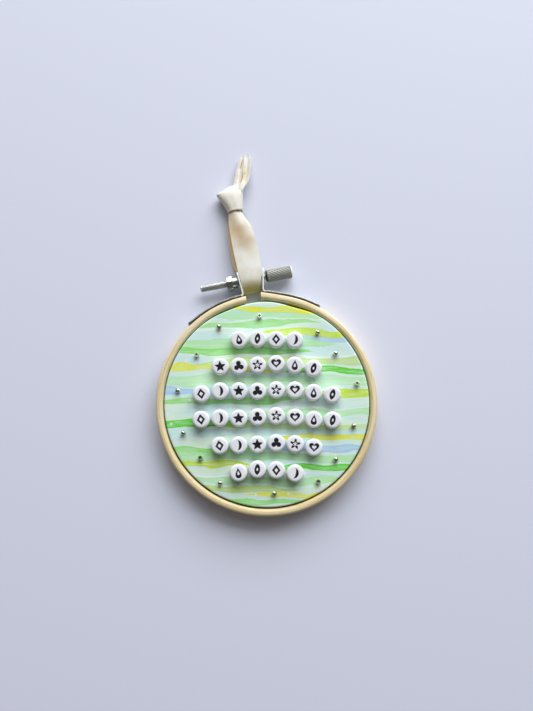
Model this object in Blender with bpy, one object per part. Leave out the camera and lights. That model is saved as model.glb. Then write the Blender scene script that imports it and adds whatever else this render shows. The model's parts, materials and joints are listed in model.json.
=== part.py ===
"""Embroidery hoop with a beaded cloth, lying face up with its ribbon loop laid out above it.

Everything hangs on the empty hoop_centre, at the middle of the outer ring's back face.
Angles round the hoop run clockwise from its top. The pieces on the clamp's screw hang on the
empty screw_axis, where u runs along the screw and v runs away from the hoop.
Sizes are in millimetres, and become metres where a mesh or a place is made.
"""
import math
from collections import namedtuple

import bmesh
import bpy
from mathutils import Vector

MM = 0.001
GAP = 0.3  # kept between pieces that touch on the real hoop
SHARP_ANGLE = 35.0  # edges of a sharper turn than this are shaded as edges

# Outer ring: bent wood, split at the top, its right-hand end sprung a little outwards
HOOP_RADIUS = 45.0
HOOP_DEPTH = 8.0
WOOD_THICK = 2.9
WOOD_FRONT_ROUNDING = 1.2
WOOD_BACK_ROUNDING = 0.4
RIGHT_END_ANGLE = -3.1
LEFT_END_ANGLE = 348.9
FLARE = 0.95
FLARE_FROM_ANGLE = 10.0
OUTER_RING_STATIONS = 61

# Cloth and the inner ring that it is stretched over; both sit against the outer ring's top
CLOTH_RADIUS = 41.6
CLOTH_THICK = 1.0
CLOTH_TOP = 7.6
CLOTH_HEM = 0.6
CLOTH_ROUNDING = 0.6
CLOTH_RISE = HOOP_RADIUS - WOOD_THICK - CLOTH_RADIUS - GAP
INNER_RING_THICK = 3.4
INNER_RING_ROUNDING = 0.6
ROUND_STATIONS = 60

# Steel straps along the outer ring, each turned up into an ear that the screw passes
STRAP_THICK = 0.6
STRAP_LOW = 0.4
STRAP_HIGH = 7.6
STRAP_CORNER = 2.0
STRAP_END_SHARES = (1.0, 0.5, 0.13, 0.0)  # where the rounding of an ear's end is read
STRAP_STATIONS = 13
BEND_RADIUS = 1.0
EAR_HOLE_RADIUS = 1.84
Strap = namedtuple("Strap", "name tip_angle foot_angle ear_lean ear_length curl")
STRAPS = (
    Strap("strap_left", 315.0, 347.8, -15.7, 10.4, 0.4),
    Strap("strap_right", 29.0, -1.8, -0.7, 10.2, 0.0),
)

# Screw: where its axis passes midway between the ears, and its turn from +X
SCREW_CENTRE = (-6.5, 51.9, 4.0)
SCREW_TURN = 11.06
SCREW_TIP = -21.6
ROD_RADIUS = 1.5
SHOULDER_RADIUS = 2.0
SHOULDER_START = 6.1
HEAD_RADIUS = 2.8
HEAD_START = 6.5
HEAD_END = 17.4
CHAMFER = 0.4
NUT_START = -10.35
NUT_END = -7.9
NUT_ACROSS_FLATS = 6.0
NUT_FACE_RADIUS = 3.1
COLLAR_RADIUS = 2.45
COLLAR_END = -6.0
NUT_BORE_RADIUS = 1.84
TURNED_SIDES = 24

# Ribbon: a flat tape looped round the screw, knotted, with two free tails.
# left and right are the edges along u, z is the edges' height above the surface that the
# hoop lies on, and camber is how far the middle bulges out of the loop.
RIBBON_THICK = 1.0
RIBBON_STRIPS = 6
RIBBON_STEPS = 2
RibbonRow = namedtuple("RibbonRow", "v z left right camber")
LOOP_ROWS = (
    RibbonRow(33.0, 4.2, -2.9, 0.4, 0.9),
    RibbonRow(29.6, 4.5, -3.7, 1.0, 1.1),
    RibbonRow(26.4, 4.9, -4.6, 2.5, 1.0),
    RibbonRow(22.0, 5.7, -5.0, 4.3, 0.7),
    RibbonRow(17.0, 6.4, -5.2, 4.8, 0.4),
    RibbonRow(11.0, 6.7, -5.2, 5.3, 0.3),
    RibbonRow(6.0, 6.9, -5.1, 4.9, 0.3),
    RibbonRow(2.8, 7.1, -4.6, 4.7, 0.3),
    RibbonRow(-1.2, 6.9, -4.3, 4.1, 0.3),
    RibbonRow(-3.6, 6.0, -4.1, 3.7, 0.1),
    RibbonRow(-4.9, 4.7, -4.0, 3.4, 0.1),
    RibbonRow(-5.1, 3.3, -4.0, 3.3, 0.1),
    RibbonRow(-4.3, 1.9, -4.0, 3.5, 0.1),
    RibbonRow(-2.0, 1.1, -4.2, 3.9, 0.2),
    RibbonRow(1.4, 0.9, -4.5, 4.3, 0.2),
    RibbonRow(4.2, 0.9, -4.8, 4.2, 0.2),
    RibbonRow(8.4, 0.9, -6.5, 3.5, 0.3),
    RibbonRow(14.0, 0.9, -6.8, 3.2, 0.3),
    RibbonRow(20.0, 1.2, -6.1, 3.0, 0.5),
    RibbonRow(25.0, 1.7, -5.5, 2.2, 0.7),
    RibbonRow(29.6, 2.2, -3.8, 0.9, 0.8),
    RibbonRow(33.0, 2.3, -2.9, 0.4, 0.7),
)
LEFT_TAIL_ROWS = (
    RibbonRow(38.5, 3.3, -1.2, 3.2, 0.7),
    RibbonRow(41.0, 3.3, -0.2, 3.9, 0.8),
    RibbonRow(44.4, 3.0, 1.1, 4.3, 1.0),
    RibbonRow(48.0, 2.6, 2.6, 5.4, 1.1),
    RibbonRow(51.2, 2.3, 4.2, 6.7, 1.0),
    RibbonRow(53.2, 1.8, 5.3, 7.4, 0.6),
    RibbonRow(54.0, 1.6, 5.8, 7.1, 0.4),
)
RIGHT_TAIL_ROWS = (
    RibbonRow(36.0, 5.0, 0.4, 3.2, 0.5),
    RibbonRow(38.4, 4.8, 1.6, 4.4, 0.6),
    RibbonRow(41.0, 4.1, 2.9, 6.2, 0.8),
    RibbonRow(44.4, 3.3, 4.2, 7.8, 1.0),
    RibbonRow(48.0, 2.8, 5.6, 8.8, 0.9),
    RibbonRow(51.2, 2.4, 6.6, 9.4, 0.8),
    RibbonRow(53.1, 1.9, 7.3, 9.5, 0.5),
    RibbonRow(54.0, 1.7, 7.8, 9.2, 0.3),
)
KNOT_SIDES = 14
KnotRow = namedtuple("KnotRow", "v left right low high")
KNOT_ROWS = (
    KnotRow(29.0, -3.1, 0.3, 1.4, 4.8),
    KnotRow(30.4, -4.0, 1.7, 0.4, 5.9),
    KnotRow(31.1, -4.5, 2.3, 0.0, 6.3),
    KnotRow(34.0, -5.7, 3.0, 0.0, 6.6),
    KnotRow(37.0, -7.1, 3.9, 0.0, 6.4),
    KnotRow(38.5, -7.5, 4.4, 0.0, 6.0),
    KnotRow(39.6, -5.8, 5.0, 0.1, 5.5),
    KnotRow(40.6, -3.6, 5.3, 0.4, 4.9),
    KnotRow(41.3, -1.6, 4.9, 0.9, 4.2),
)
TAIL_TIP_Y = 106.8  # how far the longer tail reaches above the hoop's centre

# White coin beads, threaded from side to side, in gently arched rows
BEAD_RADIUS = 3.5
BEAD_HEIGHT = 3.6
BEAD_ROUNDING = 0.6
BEAD_HOLE_RADIUS = 0.75
BEAD_HOLE_SIDES = 6
BEAD_SIDES = 16
BEAD_PITCH = 7.5
BEAD_SHIFT = 0.4   # how far hand sewing moves a bead up or down in its row
BEAD_SHIFT_STEP = 1.7
BEAD_WOBBLE = 4.0  # and how far it turns it, in degrees
BEAD_WOBBLE_STEP = 2.4
BEAD_DRILL_REACH = BEAD_RADIUS + 1.0
BeadRow = namedtuple("BeadRow", "y count arch")
BEAD_ROWS = (
    BeadRow(26.2, 4, 0.9),
    BeadRow(15.6, 6, 1.2),
    BeadRow(5.2, 8, 1.4),
    BeadRow(-5.4, 8, 1.4),
    BeadRow(-16.0, 6, 1.2),
    BeadRow(-26.4, 4, 0.9),
)

# Silver seed beads, scattered between the rows; some lie flat and some stand on edge
SEED_RADIUS = 1.0
SEED_HEIGHT = 1.5
SEED_HOLE_RADIUS = 0.4
SEED_MOUTH = 0.525  # how far the hole's mouth lies from the bead's middle
SEED_SIDES = 8
Seed = namedtuple("Seed", "x y on_edge turn")
SEEDS = (
    Seed(-19.5, 31.2, True, 20.0),
    Seed(-3.0, 35.6, False, 0.0),
    Seed(20.8, 29.0, True, 70.0),
    Seed(-28.5, 19.6, False, 15.0),
    Seed(28.0, 20.3, True, 40.0),
    Seed(-36.0, 5.2, True, 100.0),
    Seed(36.6, 8.0, False, 10.0),
    Seed(-33.6, -11.8, True, 55.0),
    Seed(35.0, -9.0, True, 130.0),
    Seed(-26.6, -21.8, False, 30.0),
    Seed(27.6, -22.4, True, 15.0),
    Seed(-18.6, -31.6, True, 80.0),
    Seed(3.0, -35.8, True, 35.0),
    Seed(20.6, -31.2, False, 20.0),
)


def clear_scene():
    for old in list(bpy.data.objects):
        bpy.data.objects.remove(old, do_unlink=True)


def make_material(name, colour, roughness, metallic=0.0):
    material = bpy.data.materials.new(name)
    material.use_nodes = True
    shader = material.node_tree.nodes["Principled BSDF"]
    shader.inputs["Base Color"].default_value = (*colour, 1.0)
    shader.inputs["Roughness"].default_value = roughness
    shader.inputs["Metallic"].default_value = metallic
    return material


def make_empty(name, parent, place, turn=0.0):
    empty = bpy.data.objects.new(name, None)
    bpy.context.scene.collection.objects.link(empty)
    empty.parent = parent
    empty.location = Vector(place) * MM
    empty.rotation_euler = (0.0, 0.0, math.radians(turn))
    return empty


def make_object(name, mesh, material, parent, place=(0.0, 0.0, 0.0), rotation=(0.0, 0.0, 0.0)):
    piece = bpy.data.objects.new(name, mesh)
    bpy.context.scene.collection.objects.link(piece)
    if not mesh.materials:
        mesh.materials.append(material)
    piece.parent = parent
    piece.location = Vector(place) * MM
    piece.rotation_euler = [math.radians(angle) for angle in rotation]
    return piece


def loft(name, sections, ring=False):
    """Skin a mesh over outlines of equal point counts, capped unless they close into a ring."""
    bm = bmesh.new()
    loops = [[bm.verts.new(Vector(point) * MM) for point in outline] for outline in sections]
    following = loops[1:] + loops[:1] if ring else loops[1:]
    for near, far in zip(loops, following):
        for i in range(len(near)):
            j = (i + 1) % len(near)
            bm.faces.new((near[i], near[j], far[j], far[i]))
    if not ring:
        bm.faces.new(reversed(loops[0]))
        bm.faces.new(loops[-1])
    bmesh.ops.recalc_face_normals(bm, faces=bm.faces)
    mesh = bpy.data.meshes.new(name)
    bm.to_mesh(mesh)
    bm.free()
    mesh.shade_smooth()
    mesh.set_sharp_from_angle(angle=math.radians(SHARP_ANGLE))
    return mesh


def combine(piece, other, operation):
    """Join another object to this one, or cut it away, with an exact Boolean."""
    other.hide_render = True
    other.display_type = "WIRE"
    modifier = piece.modifiers.new(other.name, "BOOLEAN")
    modifier.operation = operation
    modifier.solver = "EXACT"
    modifier.object = other


def baked_mesh(piece):
    """The mesh of an object after its modifiers, for pieces that share it."""
    depsgraph = bpy.context.evaluated_depsgraph_get()
    return bpy.data.meshes.new_from_object(piece.evaluated_get(depsgraph))


def spaced(start, end, count):
    return [start + (end - start) * i / (count - 1) for i in range(count)]


def circle_angles(sides):
    return [2.0 * math.pi * i / sides for i in range(sides)]


def round_hoop(angle, radius, z):
    """A point at a clockwise angle in degrees from the hoop's top."""
    turn = math.radians(angle)
    return Vector((radius * math.sin(turn), radius * math.cos(turn), z))


def flare(angle):
    """How far the outer ring's right-hand end springs outwards at this angle."""
    if angle >= FLARE_FROM_ANGLE:
        return 0.0
    return FLARE * ((FLARE_FROM_ANGLE - angle) / (FLARE_FROM_ANGLE - RIGHT_END_ANGLE)) ** 2


def ring_section(inner, outer, low, high, back, front):
    """Outline of a wooden ring's section, with its back and front edges rounded."""
    corners = (
        (inner + back, low + back, back, 180.0, 2),
        (outer - back, low + back, back, 270.0, 2),
        (outer - front, high - front, front, 0.0, 3),
        (inner + front, high - front, front, 90.0, 3),
    )
    outline = []
    for across, up, radius, start, points in corners:
        for angle in spaced(start, start + 90.0, points):
            turn = math.radians(angle)
            outline.append((across + radius * math.cos(turn), up + radius * math.sin(turn)))
    return outline


def outer_ring(parent, material):
    inner = HOOP_RADIUS - WOOD_THICK
    outline = ring_section(inner, HOOP_RADIUS, 0.0, HOOP_DEPTH, WOOD_BACK_ROUNDING, WOOD_FRONT_ROUNDING)
    sections = []
    for angle in spaced(RIGHT_END_ANGLE, LEFT_END_ANGLE, OUTER_RING_STATIONS):
        sections.append([round_hoop(angle, radius + flare(angle), z) for radius, z in outline])
    make_object("outer_ring", loft("outer_ring", sections), material, parent)


def inner_ring(parent, material):
    outer = CLOTH_RADIUS - CLOTH_THICK - GAP
    top = CLOTH_TOP - CLOTH_THICK - GAP
    edge = INNER_RING_ROUNDING
    outline = ring_section(outer - INNER_RING_THICK, outer, 0.0, top, edge, edge)
    angles = [360.0 * i / ROUND_STATIONS for i in range(ROUND_STATIONS)]
    sections = [[round_hoop(angle, radius, z) for radius, z in outline] for angle in angles]
    mesh = loft("inner_ring", sections, ring=True)
    make_object("inner_ring", mesh, material, parent, (0.0, CLOTH_RISE, 0.0))


def cloth(parent, material):
    """A taut disc whose edge turns down between the two rings."""
    underside = CLOTH_TOP - CLOTH_THICK
    inner = CLOTH_RADIUS - CLOTH_THICK
    profile = [(inner, underside), (inner, CLOTH_HEM), (CLOTH_RADIUS, CLOTH_HEM)]
    for angle in (0.0, 45.0, 90.0):
        turn = math.radians(angle)
        across = CLOTH_RADIUS - CLOTH_ROUNDING * (1.0 - math.cos(turn))
        profile.append((across, CLOTH_TOP - CLOTH_ROUNDING * (1.0 - math.sin(turn))))
    angles = [360.0 * i / ROUND_STATIONS for i in range(ROUND_STATIONS)]
    sections = [[round_hoop(angle, radius, z) for angle in angles] for radius, z in profile]
    make_object("cloth", loft("cloth", sections), material, parent, (0.0, CLOTH_RISE, 0.0))


def strap_route(strap):
    """Middle line of a strap: round the hoop from its tip, then out along its ear."""
    middle = HOOP_RADIUS + GAP + STRAP_THICK / 2.0
    bend_angle = math.copysign(math.degrees(BEND_RADIUS / middle), strap.foot_angle - strap.tip_angle)
    angles = spaced(strap.tip_angle, strap.foot_angle - bend_angle, STRAP_STATIONS)
    route = [round_hoop(angle, middle + flare(angle), 0.0) for angle in angles]
    route[0] = round_hoop(strap.tip_angle, middle + strap.curl, 0.0)
    lean = math.radians(strap.ear_lean)
    ear_direction = Vector((math.sin(lean), math.cos(lean), 0.0))
    corner = round_hoop(strap.foot_angle, middle + flare(strap.foot_angle), 0.0)
    bend_start = route[-1]
    bend_end = corner + ear_direction * BEND_RADIUS
    for share in (0.25, 0.5, 0.75, 1.0):
        route.append(bend_start.lerp(corner, share).lerp(corner.lerp(bend_end, share), share))
    for from_tip in STRAP_END_SHARES:
        route.append(corner + ear_direction * (strap.ear_length - STRAP_CORNER * from_tip))
    return route


def strap_and_ear(strap, parent, material, hole):
    """A bent steel strip of the route's shape, its two ends rounded."""
    route = strap_route(strap)
    lengths = [0.0]
    for here, there in zip(route, route[1:]):
        lengths.append(lengths[-1] + (there - here).length)
    middle = (STRAP_LOW + STRAP_HIGH) / 2.0
    sections = []
    for i, point in enumerate(route):
        ahead = route[min(i + 1, len(route) - 1)] - route[max(i - 1, 0)]
        side = Vector((-ahead.y, ahead.x, 0.0)).normalized() * (STRAP_THICK / 2.0)
        from_end = min(lengths[-1] - lengths[i], STRAP_CORNER)
        drop = STRAP_CORNER - math.sqrt(STRAP_CORNER ** 2 - (STRAP_CORNER - from_end) ** 2)
        half = (STRAP_HIGH - STRAP_LOW) / 2.0 - drop
        low = Vector((0.0, 0.0, middle - half))
        high = Vector((0.0, 0.0, middle + half))
        sections.append([point - side + low, point + side + low, point + side + high, point - side + high])
    piece = make_object(strap.name, loft(strap.name, sections), material, parent)
    combine(piece, hole, "DIFFERENCE")


def turned(name, stations, sides=TURNED_SIDES, ring=False):
    """A piece turned about the local X axis from (x, radius) or (x, outline) stations."""
    sections = []
    for x, radius in stations:
        outline = []
        for turn in circle_angles(sides):
            reach = radius(turn) if callable(radius) else radius
            outline.append((x, reach * math.cos(turn), reach * math.sin(turn)))
        sections.append(outline)
    return loft(name, sections, ring)


def hexagon(turn):
    """Distance from a nut's axis to its side at this turn, with a corner on top."""
    sixth = math.pi / 3.0
    from_flat = ((turn + sixth / 2.0) % sixth) - sixth / 2.0
    return NUT_ACROSS_FLATS / 2.0 / math.cos(from_flat)


def chamfered_hexagon(turn):
    return min(hexagon(turn), NUT_FACE_RADIUS)


def thumb_screw(parent, material):
    stations = (
        (SCREW_TIP, ROD_RADIUS - CHAMFER),
        (SCREW_TIP + CHAMFER, ROD_RADIUS),
        (SHOULDER_START, ROD_RADIUS),
        (SHOULDER_START, SHOULDER_RADIUS),
        (HEAD_START, SHOULDER_RADIUS),
        (HEAD_START, HEAD_RADIUS - CHAMFER),
        (HEAD_START + CHAMFER, HEAD_RADIUS),
        (HEAD_END - CHAMFER, HEAD_RADIUS),
        (HEAD_END, HEAD_RADIUS - CHAMFER),
    )
    make_object("thumb_screw", turned("thumb_screw", stations), material, parent)


def lock_nut(parent, material):
    """A hexagon nut with a round collar on the ear's side, bored for the screw."""
    stations = (
        (NUT_START, NUT_BORE_RADIUS),
        (NUT_START, chamfered_hexagon),
        (NUT_START + CHAMFER, hexagon),
        (NUT_END - CHAMFER, hexagon),
        (NUT_END, chamfered_hexagon),
        (NUT_END, COLLAR_RADIUS),
        (COLLAR_END, COLLAR_RADIUS),
        (COLLAR_END, NUT_BORE_RADIUS),
    )
    make_object("lock_nut", turned("lock_nut", stations, ring=True), material, parent)


def ear_hole(parent):
    """The cutter of both ears' holes, along the screw."""
    reach = COLLAR_END
    stations = ((reach, EAR_HOLE_RADIUS), (-reach, EAR_HOLE_RADIUS))
    return make_object("ear_hole", turned("ear_hole", stations), None, parent)


def between(rows, steps):
    """Rows read from a smooth curve through the table's own rows."""
    padded = [rows[0], *rows, rows[-1]]
    smooth = []
    for before, here, there, after in zip(padded, padded[1:], padded[2:], padded[3:]):
        for step in range(steps):
            t = step / steps
            weights = (
                -0.5 * t + t ** 2 - 0.5 * t ** 3,
                1.0 - 2.5 * t ** 2 + 1.5 * t ** 3,
                0.5 * t + 2.0 * t ** 2 - 1.5 * t ** 3,
                -0.5 * t ** 2 + 0.5 * t ** 3,
            )
            values = zip(before, here, there, after)
            smooth.append(type(here)(*(sum(w * x for w, x in zip(weights, four)) for four in values)))
    smooth.append(rows[-1])
    return smooth


def tape(name, rows):
    """A strip of ribbon that follows the rows, its middle bulging by their camber."""
    path = between(rows, RIBBON_STEPS)
    sections = []
    for i, row in enumerate(path):
        before = path[max(i - 1, 0)]
        after = path[min(i + 1, len(path) - 1)]
        out = Vector((0.0, after.z - before.z, before.v - after.v)).normalized()
        upper = []
        lower = []
        for across in spaced(0.0, 1.0, RIBBON_STRIPS + 1):
            bulge = row.camber * (1.0 - (2.0 * across - 1.0) ** 2)
            place = Vector((row.left + (row.right - row.left) * across, row.v, row.z - SCREW_CENTRE[2]))
            place += out * bulge
            upper.append(place + out * (RIBBON_THICK / 2.0))
            lower.append(place - out * (RIBBON_THICK / 2.0))
        sections.append(upper + lower[::-1])
    return loft(name, sections)


def knot_lump(name):
    sections = []
    for row in KNOT_ROWS:
        middle = Vector(((row.left + row.right) / 2.0, row.v, (row.low + row.high) / 2.0 - SCREW_CENTRE[2]))
        across = (row.right - row.left) / 2.0
        up = (row.high - row.low) / 2.0
        outline = []
        for turn in circle_angles(KNOT_SIDES):
            outline.append(middle + Vector((across * math.cos(turn), 0.0, up * math.sin(turn))))
        sections.append(outline)
    return loft(name, sections)


def ribbon(parent, material):
    piece = make_object("ribbon", tape("ribbon", LOOP_ROWS), material, parent)
    knot = make_object("ribbon_knot", knot_lump("ribbon_knot"), material, parent)
    left = make_object("ribbon_tail_left", tape("ribbon_tail_left", LEFT_TAIL_ROWS), material, parent)
    right = make_object("ribbon_tail_right", tape("ribbon_tail_right", RIGHT_TAIL_ROWS), material, parent)
    for other in (knot, left, right):
        combine(piece, other, "UNION")


def coin_bead_mesh(parent, material):
    """One round flat bead with its thread hole along local X."""
    edge = BEAD_RADIUS - BEAD_ROUNDING
    profile = (
        (edge, 0.0),
        (BEAD_RADIUS, BEAD_ROUNDING),
        (BEAD_RADIUS, BEAD_HEIGHT - BEAD_ROUNDING),
        (edge, BEAD_HEIGHT),
    )
    angles = [360.0 * (i + 0.5) / BEAD_SIDES for i in range(BEAD_SIDES)]
    sections = [[round_hoop(angle, radius, z) for angle in angles] for radius, z in profile]
    blank = make_object("bead_blank", loft("bead_blank", sections), material, parent)
    drill_ends = ((-BEAD_DRILL_REACH, BEAD_HOLE_RADIUS), (BEAD_DRILL_REACH, BEAD_HOLE_RADIUS))
    drill_mesh = turned("bead_drill", drill_ends, BEAD_HOLE_SIDES)
    drill = make_object("bead_drill", drill_mesh, None, parent, (0.0, 0.0, BEAD_HEIGHT / 2.0))
    combine(blank, drill, "DIFFERENCE")
    mesh = baked_mesh(blank)
    for used in (blank, drill):
        bpy.data.objects.remove(used, do_unlink=True)
    return mesh


def coin_beads(parent, material):
    mesh = coin_bead_mesh(parent, material)
    number = 0
    for row in BEAD_ROWS:
        half_row = BEAD_PITCH * (row.count - 1) / 2.0
        for i in range(row.count):
            number += 1
            x = i * BEAD_PITCH - half_row
            y = row.y - row.arch * (x / half_row) ** 2 + BEAD_SHIFT * math.sin(number * BEAD_SHIFT_STEP)
            slope = math.degrees(math.atan(-2.0 * row.arch * x / half_row ** 2))
            turn = slope + BEAD_WOBBLE * math.sin(number * BEAD_WOBBLE_STEP)
            place = (x, y, CLOTH_TOP + GAP)
            make_object(f"coin_bead_{number:02d}", mesh, material, parent, place, (0.0, 0.0, turn))


def seed_bead_mesh():
    """A short glass tube with a swollen side, about local Z."""
    half = SEED_HEIGHT / 2.0
    shoulder = (SEED_RADIUS + SEED_HOLE_RADIUS) / 2.0
    outline = (
        (SEED_HOLE_RADIUS, -SEED_MOUTH),
        (shoulder, -half),
        (SEED_RADIUS, 0.0),
        (shoulder, half),
        (SEED_HOLE_RADIUS, SEED_MOUTH),
    )
    angles = [360.0 * i / SEED_SIDES for i in range(SEED_SIDES)]
    sections = [[round_hoop(angle, radius, z) for radius, z in outline] for angle in angles]
    return loft("seed_bead", sections, ring=True)


def seed_beads(parent, material):
    mesh = seed_bead_mesh()
    for number, seed in enumerate(SEEDS, start=1):
        half = SEED_RADIUS if seed.on_edge else SEED_HEIGHT / 2.0
        place = (seed.x, seed.y, CLOTH_TOP + GAP + half)
        tip = 90.0 if seed.on_edge else 0.0
        make_object(f"seed_bead_{number:02d}", mesh, material, parent, place, (tip, 0.0, seed.turn))


def main():
    clear_scene()
    wood = make_material("bamboo", (0.80, 0.66, 0.42), 0.55)
    print_cloth = make_material("printed_cotton", (0.55, 0.80, 0.45), 0.85)
    steel = make_material("zinc_plated_steel", (0.62, 0.64, 0.62), 0.35, 1.0)
    cream = make_material("cream_ribbon", (0.86, 0.80, 0.68), 0.8)
    white = make_material("white_plastic", (0.92, 0.92, 0.92), 0.3)
    silver = make_material("silver_bead", (0.78, 0.79, 0.78), 0.25, 1.0)

    middle_y = (HOOP_RADIUS - TAIL_TIP_Y) / 2.0
    hoop_centre = make_empty("hoop_centre", None, (0.0, middle_y, 0.0))
    screw_axis = make_empty("screw_axis", hoop_centre, SCREW_CENTRE, SCREW_TURN)

    outer_ring(hoop_centre, wood)
    inner_ring(hoop_centre, wood)
    cloth(hoop_centre, print_cloth)
    hole = ear_hole(screw_axis)
    for strap in STRAPS:
        strap_and_ear(strap, hoop_centre, steel, hole)
    thumb_screw(screw_axis, steel)
    lock_nut(screw_axis, steel)
    ribbon(screw_axis, cream)
    coin_beads(hoop_centre, white)
    seed_beads(hoop_centre, silver)


main()
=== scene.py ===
# %% [markdown]
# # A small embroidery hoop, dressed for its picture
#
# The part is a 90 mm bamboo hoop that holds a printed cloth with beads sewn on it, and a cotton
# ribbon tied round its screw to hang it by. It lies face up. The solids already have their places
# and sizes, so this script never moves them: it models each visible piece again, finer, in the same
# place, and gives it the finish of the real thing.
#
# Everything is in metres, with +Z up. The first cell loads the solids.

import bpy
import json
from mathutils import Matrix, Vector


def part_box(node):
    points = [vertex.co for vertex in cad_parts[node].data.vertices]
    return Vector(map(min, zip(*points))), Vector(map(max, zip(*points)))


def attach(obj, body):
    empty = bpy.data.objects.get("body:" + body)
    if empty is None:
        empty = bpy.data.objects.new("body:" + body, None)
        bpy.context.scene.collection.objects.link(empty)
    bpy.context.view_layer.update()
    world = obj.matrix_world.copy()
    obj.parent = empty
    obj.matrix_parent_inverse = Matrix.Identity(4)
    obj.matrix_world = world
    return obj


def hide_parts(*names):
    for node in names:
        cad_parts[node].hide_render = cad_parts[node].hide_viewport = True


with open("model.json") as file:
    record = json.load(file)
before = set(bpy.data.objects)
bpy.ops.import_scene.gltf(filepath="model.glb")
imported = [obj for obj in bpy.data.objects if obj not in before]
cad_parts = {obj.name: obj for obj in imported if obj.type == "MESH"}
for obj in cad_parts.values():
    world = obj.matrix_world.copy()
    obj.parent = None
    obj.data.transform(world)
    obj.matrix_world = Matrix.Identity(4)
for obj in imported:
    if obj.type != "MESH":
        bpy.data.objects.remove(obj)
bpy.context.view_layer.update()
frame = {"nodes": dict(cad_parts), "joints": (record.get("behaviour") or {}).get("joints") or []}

# %% Modules and the unit
import json
import math
from collections import namedtuple

import bmesh
import bpy
from mathutils import Vector

MM = 0.001
scene = bpy.context.scene
print("one millimetre is", MM, "in", scene.unit_settings.system.lower(), "units")

# %% [markdown]
# ## Where things are
#
# Three places carry the whole layout. The hoop's centre is the middle of the outer ring. The
# cloth's centre is a fifth of a millimetre higher, because the inner ring lies against the top of
# the outer one. The screw's axis passes midway between the two ears, turned eleven degrees, and the
# ribbon is laid out along it: u runs along the screw, v away from the hoop.

# %% Places
ring_low, ring_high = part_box("outer_ring")
cloth_low, cloth_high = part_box("cloth")
HOOP_RADIUS = 45.0 * MM
RING_DEPTH = ring_high.z
HOOP_CENTRE = Vector((0.0, ring_low.y + HOOP_RADIUS, 0.0))
CLOTH_CENTRE = Vector((0.0, (cloth_low.y + cloth_high.y) / 2.0, 0.0))
CLOTH_TOP = cloth_high.z
screw_joint = frame["joints"][0]
SCREW_CENTRE = Vector(screw_joint["pos_m"])
SCREW_AXIS = Vector(screw_joint["axis"]).normalized()
OUTWARD = Vector((-SCREW_AXIS.y, SCREW_AXIS.x, 0.0))
SCREW_TURN = math.atan2(SCREW_AXIS.y, SCREW_AXIS.x)
print("hoop centre", HOOP_CENTRE, "cloth top", CLOTH_TOP, "screw turned", math.degrees(SCREW_TURN))


def round_hoop(angle, radius, z=0.0, centre=HOOP_CENTRE):
    """The point at a clockwise angle in degrees from the hoop's top."""
    turn = math.radians(angle)
    return centre + Vector((radius * math.sin(turn), radius * math.cos(turn), z))


def by_screw(u, v, z):
    """The point u along the screw and v away from the hoop, at height z above the floor."""
    place = SCREW_CENTRE + SCREW_AXIS * u + OUTWARD * v
    return Vector((place.x, place.y, z))


# %% [markdown]
# ## Working as by hand
#
# Most pieces are made with the same moves as in Blender's window: add a primitive, go into edit
# mode, select by place, extrude, bevel or spin, and apply. A script has no mouse, so these helpers
# say which object is being worked on and select points by a test on where they are. More helpers
# follow where a piece first needs them.

# %% Picking up a piece
def put_down():
    """Leave edit mode and select nothing."""
    if bpy.context.object and bpy.context.object.mode != "OBJECT":
        bpy.ops.object.mode_set(mode="OBJECT")
    bpy.ops.object.select_all(action="DESELECT")


def pick_up(*pieces):
    """Select these objects only, the first one active."""
    put_down()
    for piece in pieces:
        piece.select_set(True)
    bpy.context.view_layer.objects.active = pieces[0]


def apply_place():
    """Put the selected object's place, turn and scale into its mesh."""
    bpy.ops.object.transform_apply(location=True, rotation=True, scale=True)


# %% In edit mode
def edit(piece):
    """Go into edit mode with every point selected."""
    pick_up(piece)
    bpy.ops.object.mode_set(mode="EDIT")
    bpy.ops.mesh.select_mode(type="VERT")
    bpy.ops.mesh.select_all(action="SELECT")


def leave_edit():
    """Go back to object mode."""
    bpy.ops.object.mode_set(mode="OBJECT")


def select_points(test):
    """In edit mode, select the points whose place passes the test."""
    bpy.ops.mesh.select_mode(type="VERT")
    bpy.ops.mesh.select_all(action="DESELECT")
    bm = bmesh.from_edit_mesh(bpy.context.edit_object.data)
    for vertex in bm.verts:
        vertex.select_set(test(vertex.co))
    bm.select_flush(True)
    bmesh.update_edit_mesh(bpy.context.edit_object.data)


def close_up():
    """Merge doubled points, turn every face outwards, and leave edit mode."""
    bpy.ops.mesh.select_mode(type="VERT")
    bpy.ops.mesh.select_all(action="SELECT")
    bpy.ops.mesh.remove_doubles(threshold=0.005 * MM)
    bpy.ops.mesh.normals_make_consistent(inside=False)
    leave_edit()


# %% Finishing a piece
def settle(piece, name, smooth=30.0):
    """Name a piece, put its place into its mesh, and shade it smooth except at sharp edges."""
    pick_up(piece)
    piece.name = name
    piece.data.name = name
    apply_place()
    bpy.ops.object.shade_smooth_by_angle(angle=math.radians(smooth))
    put_down()
    return piece


def move_points(piece, rule):
    """Move each point of a finished mesh to where the rule says."""
    for vertex in piece.data.vertices:
        vertex.co = rule(vertex.co)
    piece.data.update()


def give(piece, *finishes):
    """Give a piece these finishes only. A Boolean can leave an empty slot behind."""
    piece.data.materials.clear()
    for finish in finishes:
        piece.data.materials.append(finish)


def stand_for(piece, node, material, body="hoop"):
    """Give a piece its finish if it has none, and let it take the place of a solid."""
    if not any(piece.data.materials):
        give(piece, material)
    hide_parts(node)
    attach(piece, body)
    print(f"{piece.name}: {len(piece.data.polygons)} faces, for {node}")


# %% [markdown]
# ## Writing materials
#
# A finish is a small graph of nodes. Wiring nodes one by one takes many lines, so Graph makes a
# node, sets or links its inputs, and hands back its output. A number sets a socket and an output
# links to it, so an arithmetic chain reads almost like a formula.

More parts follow.
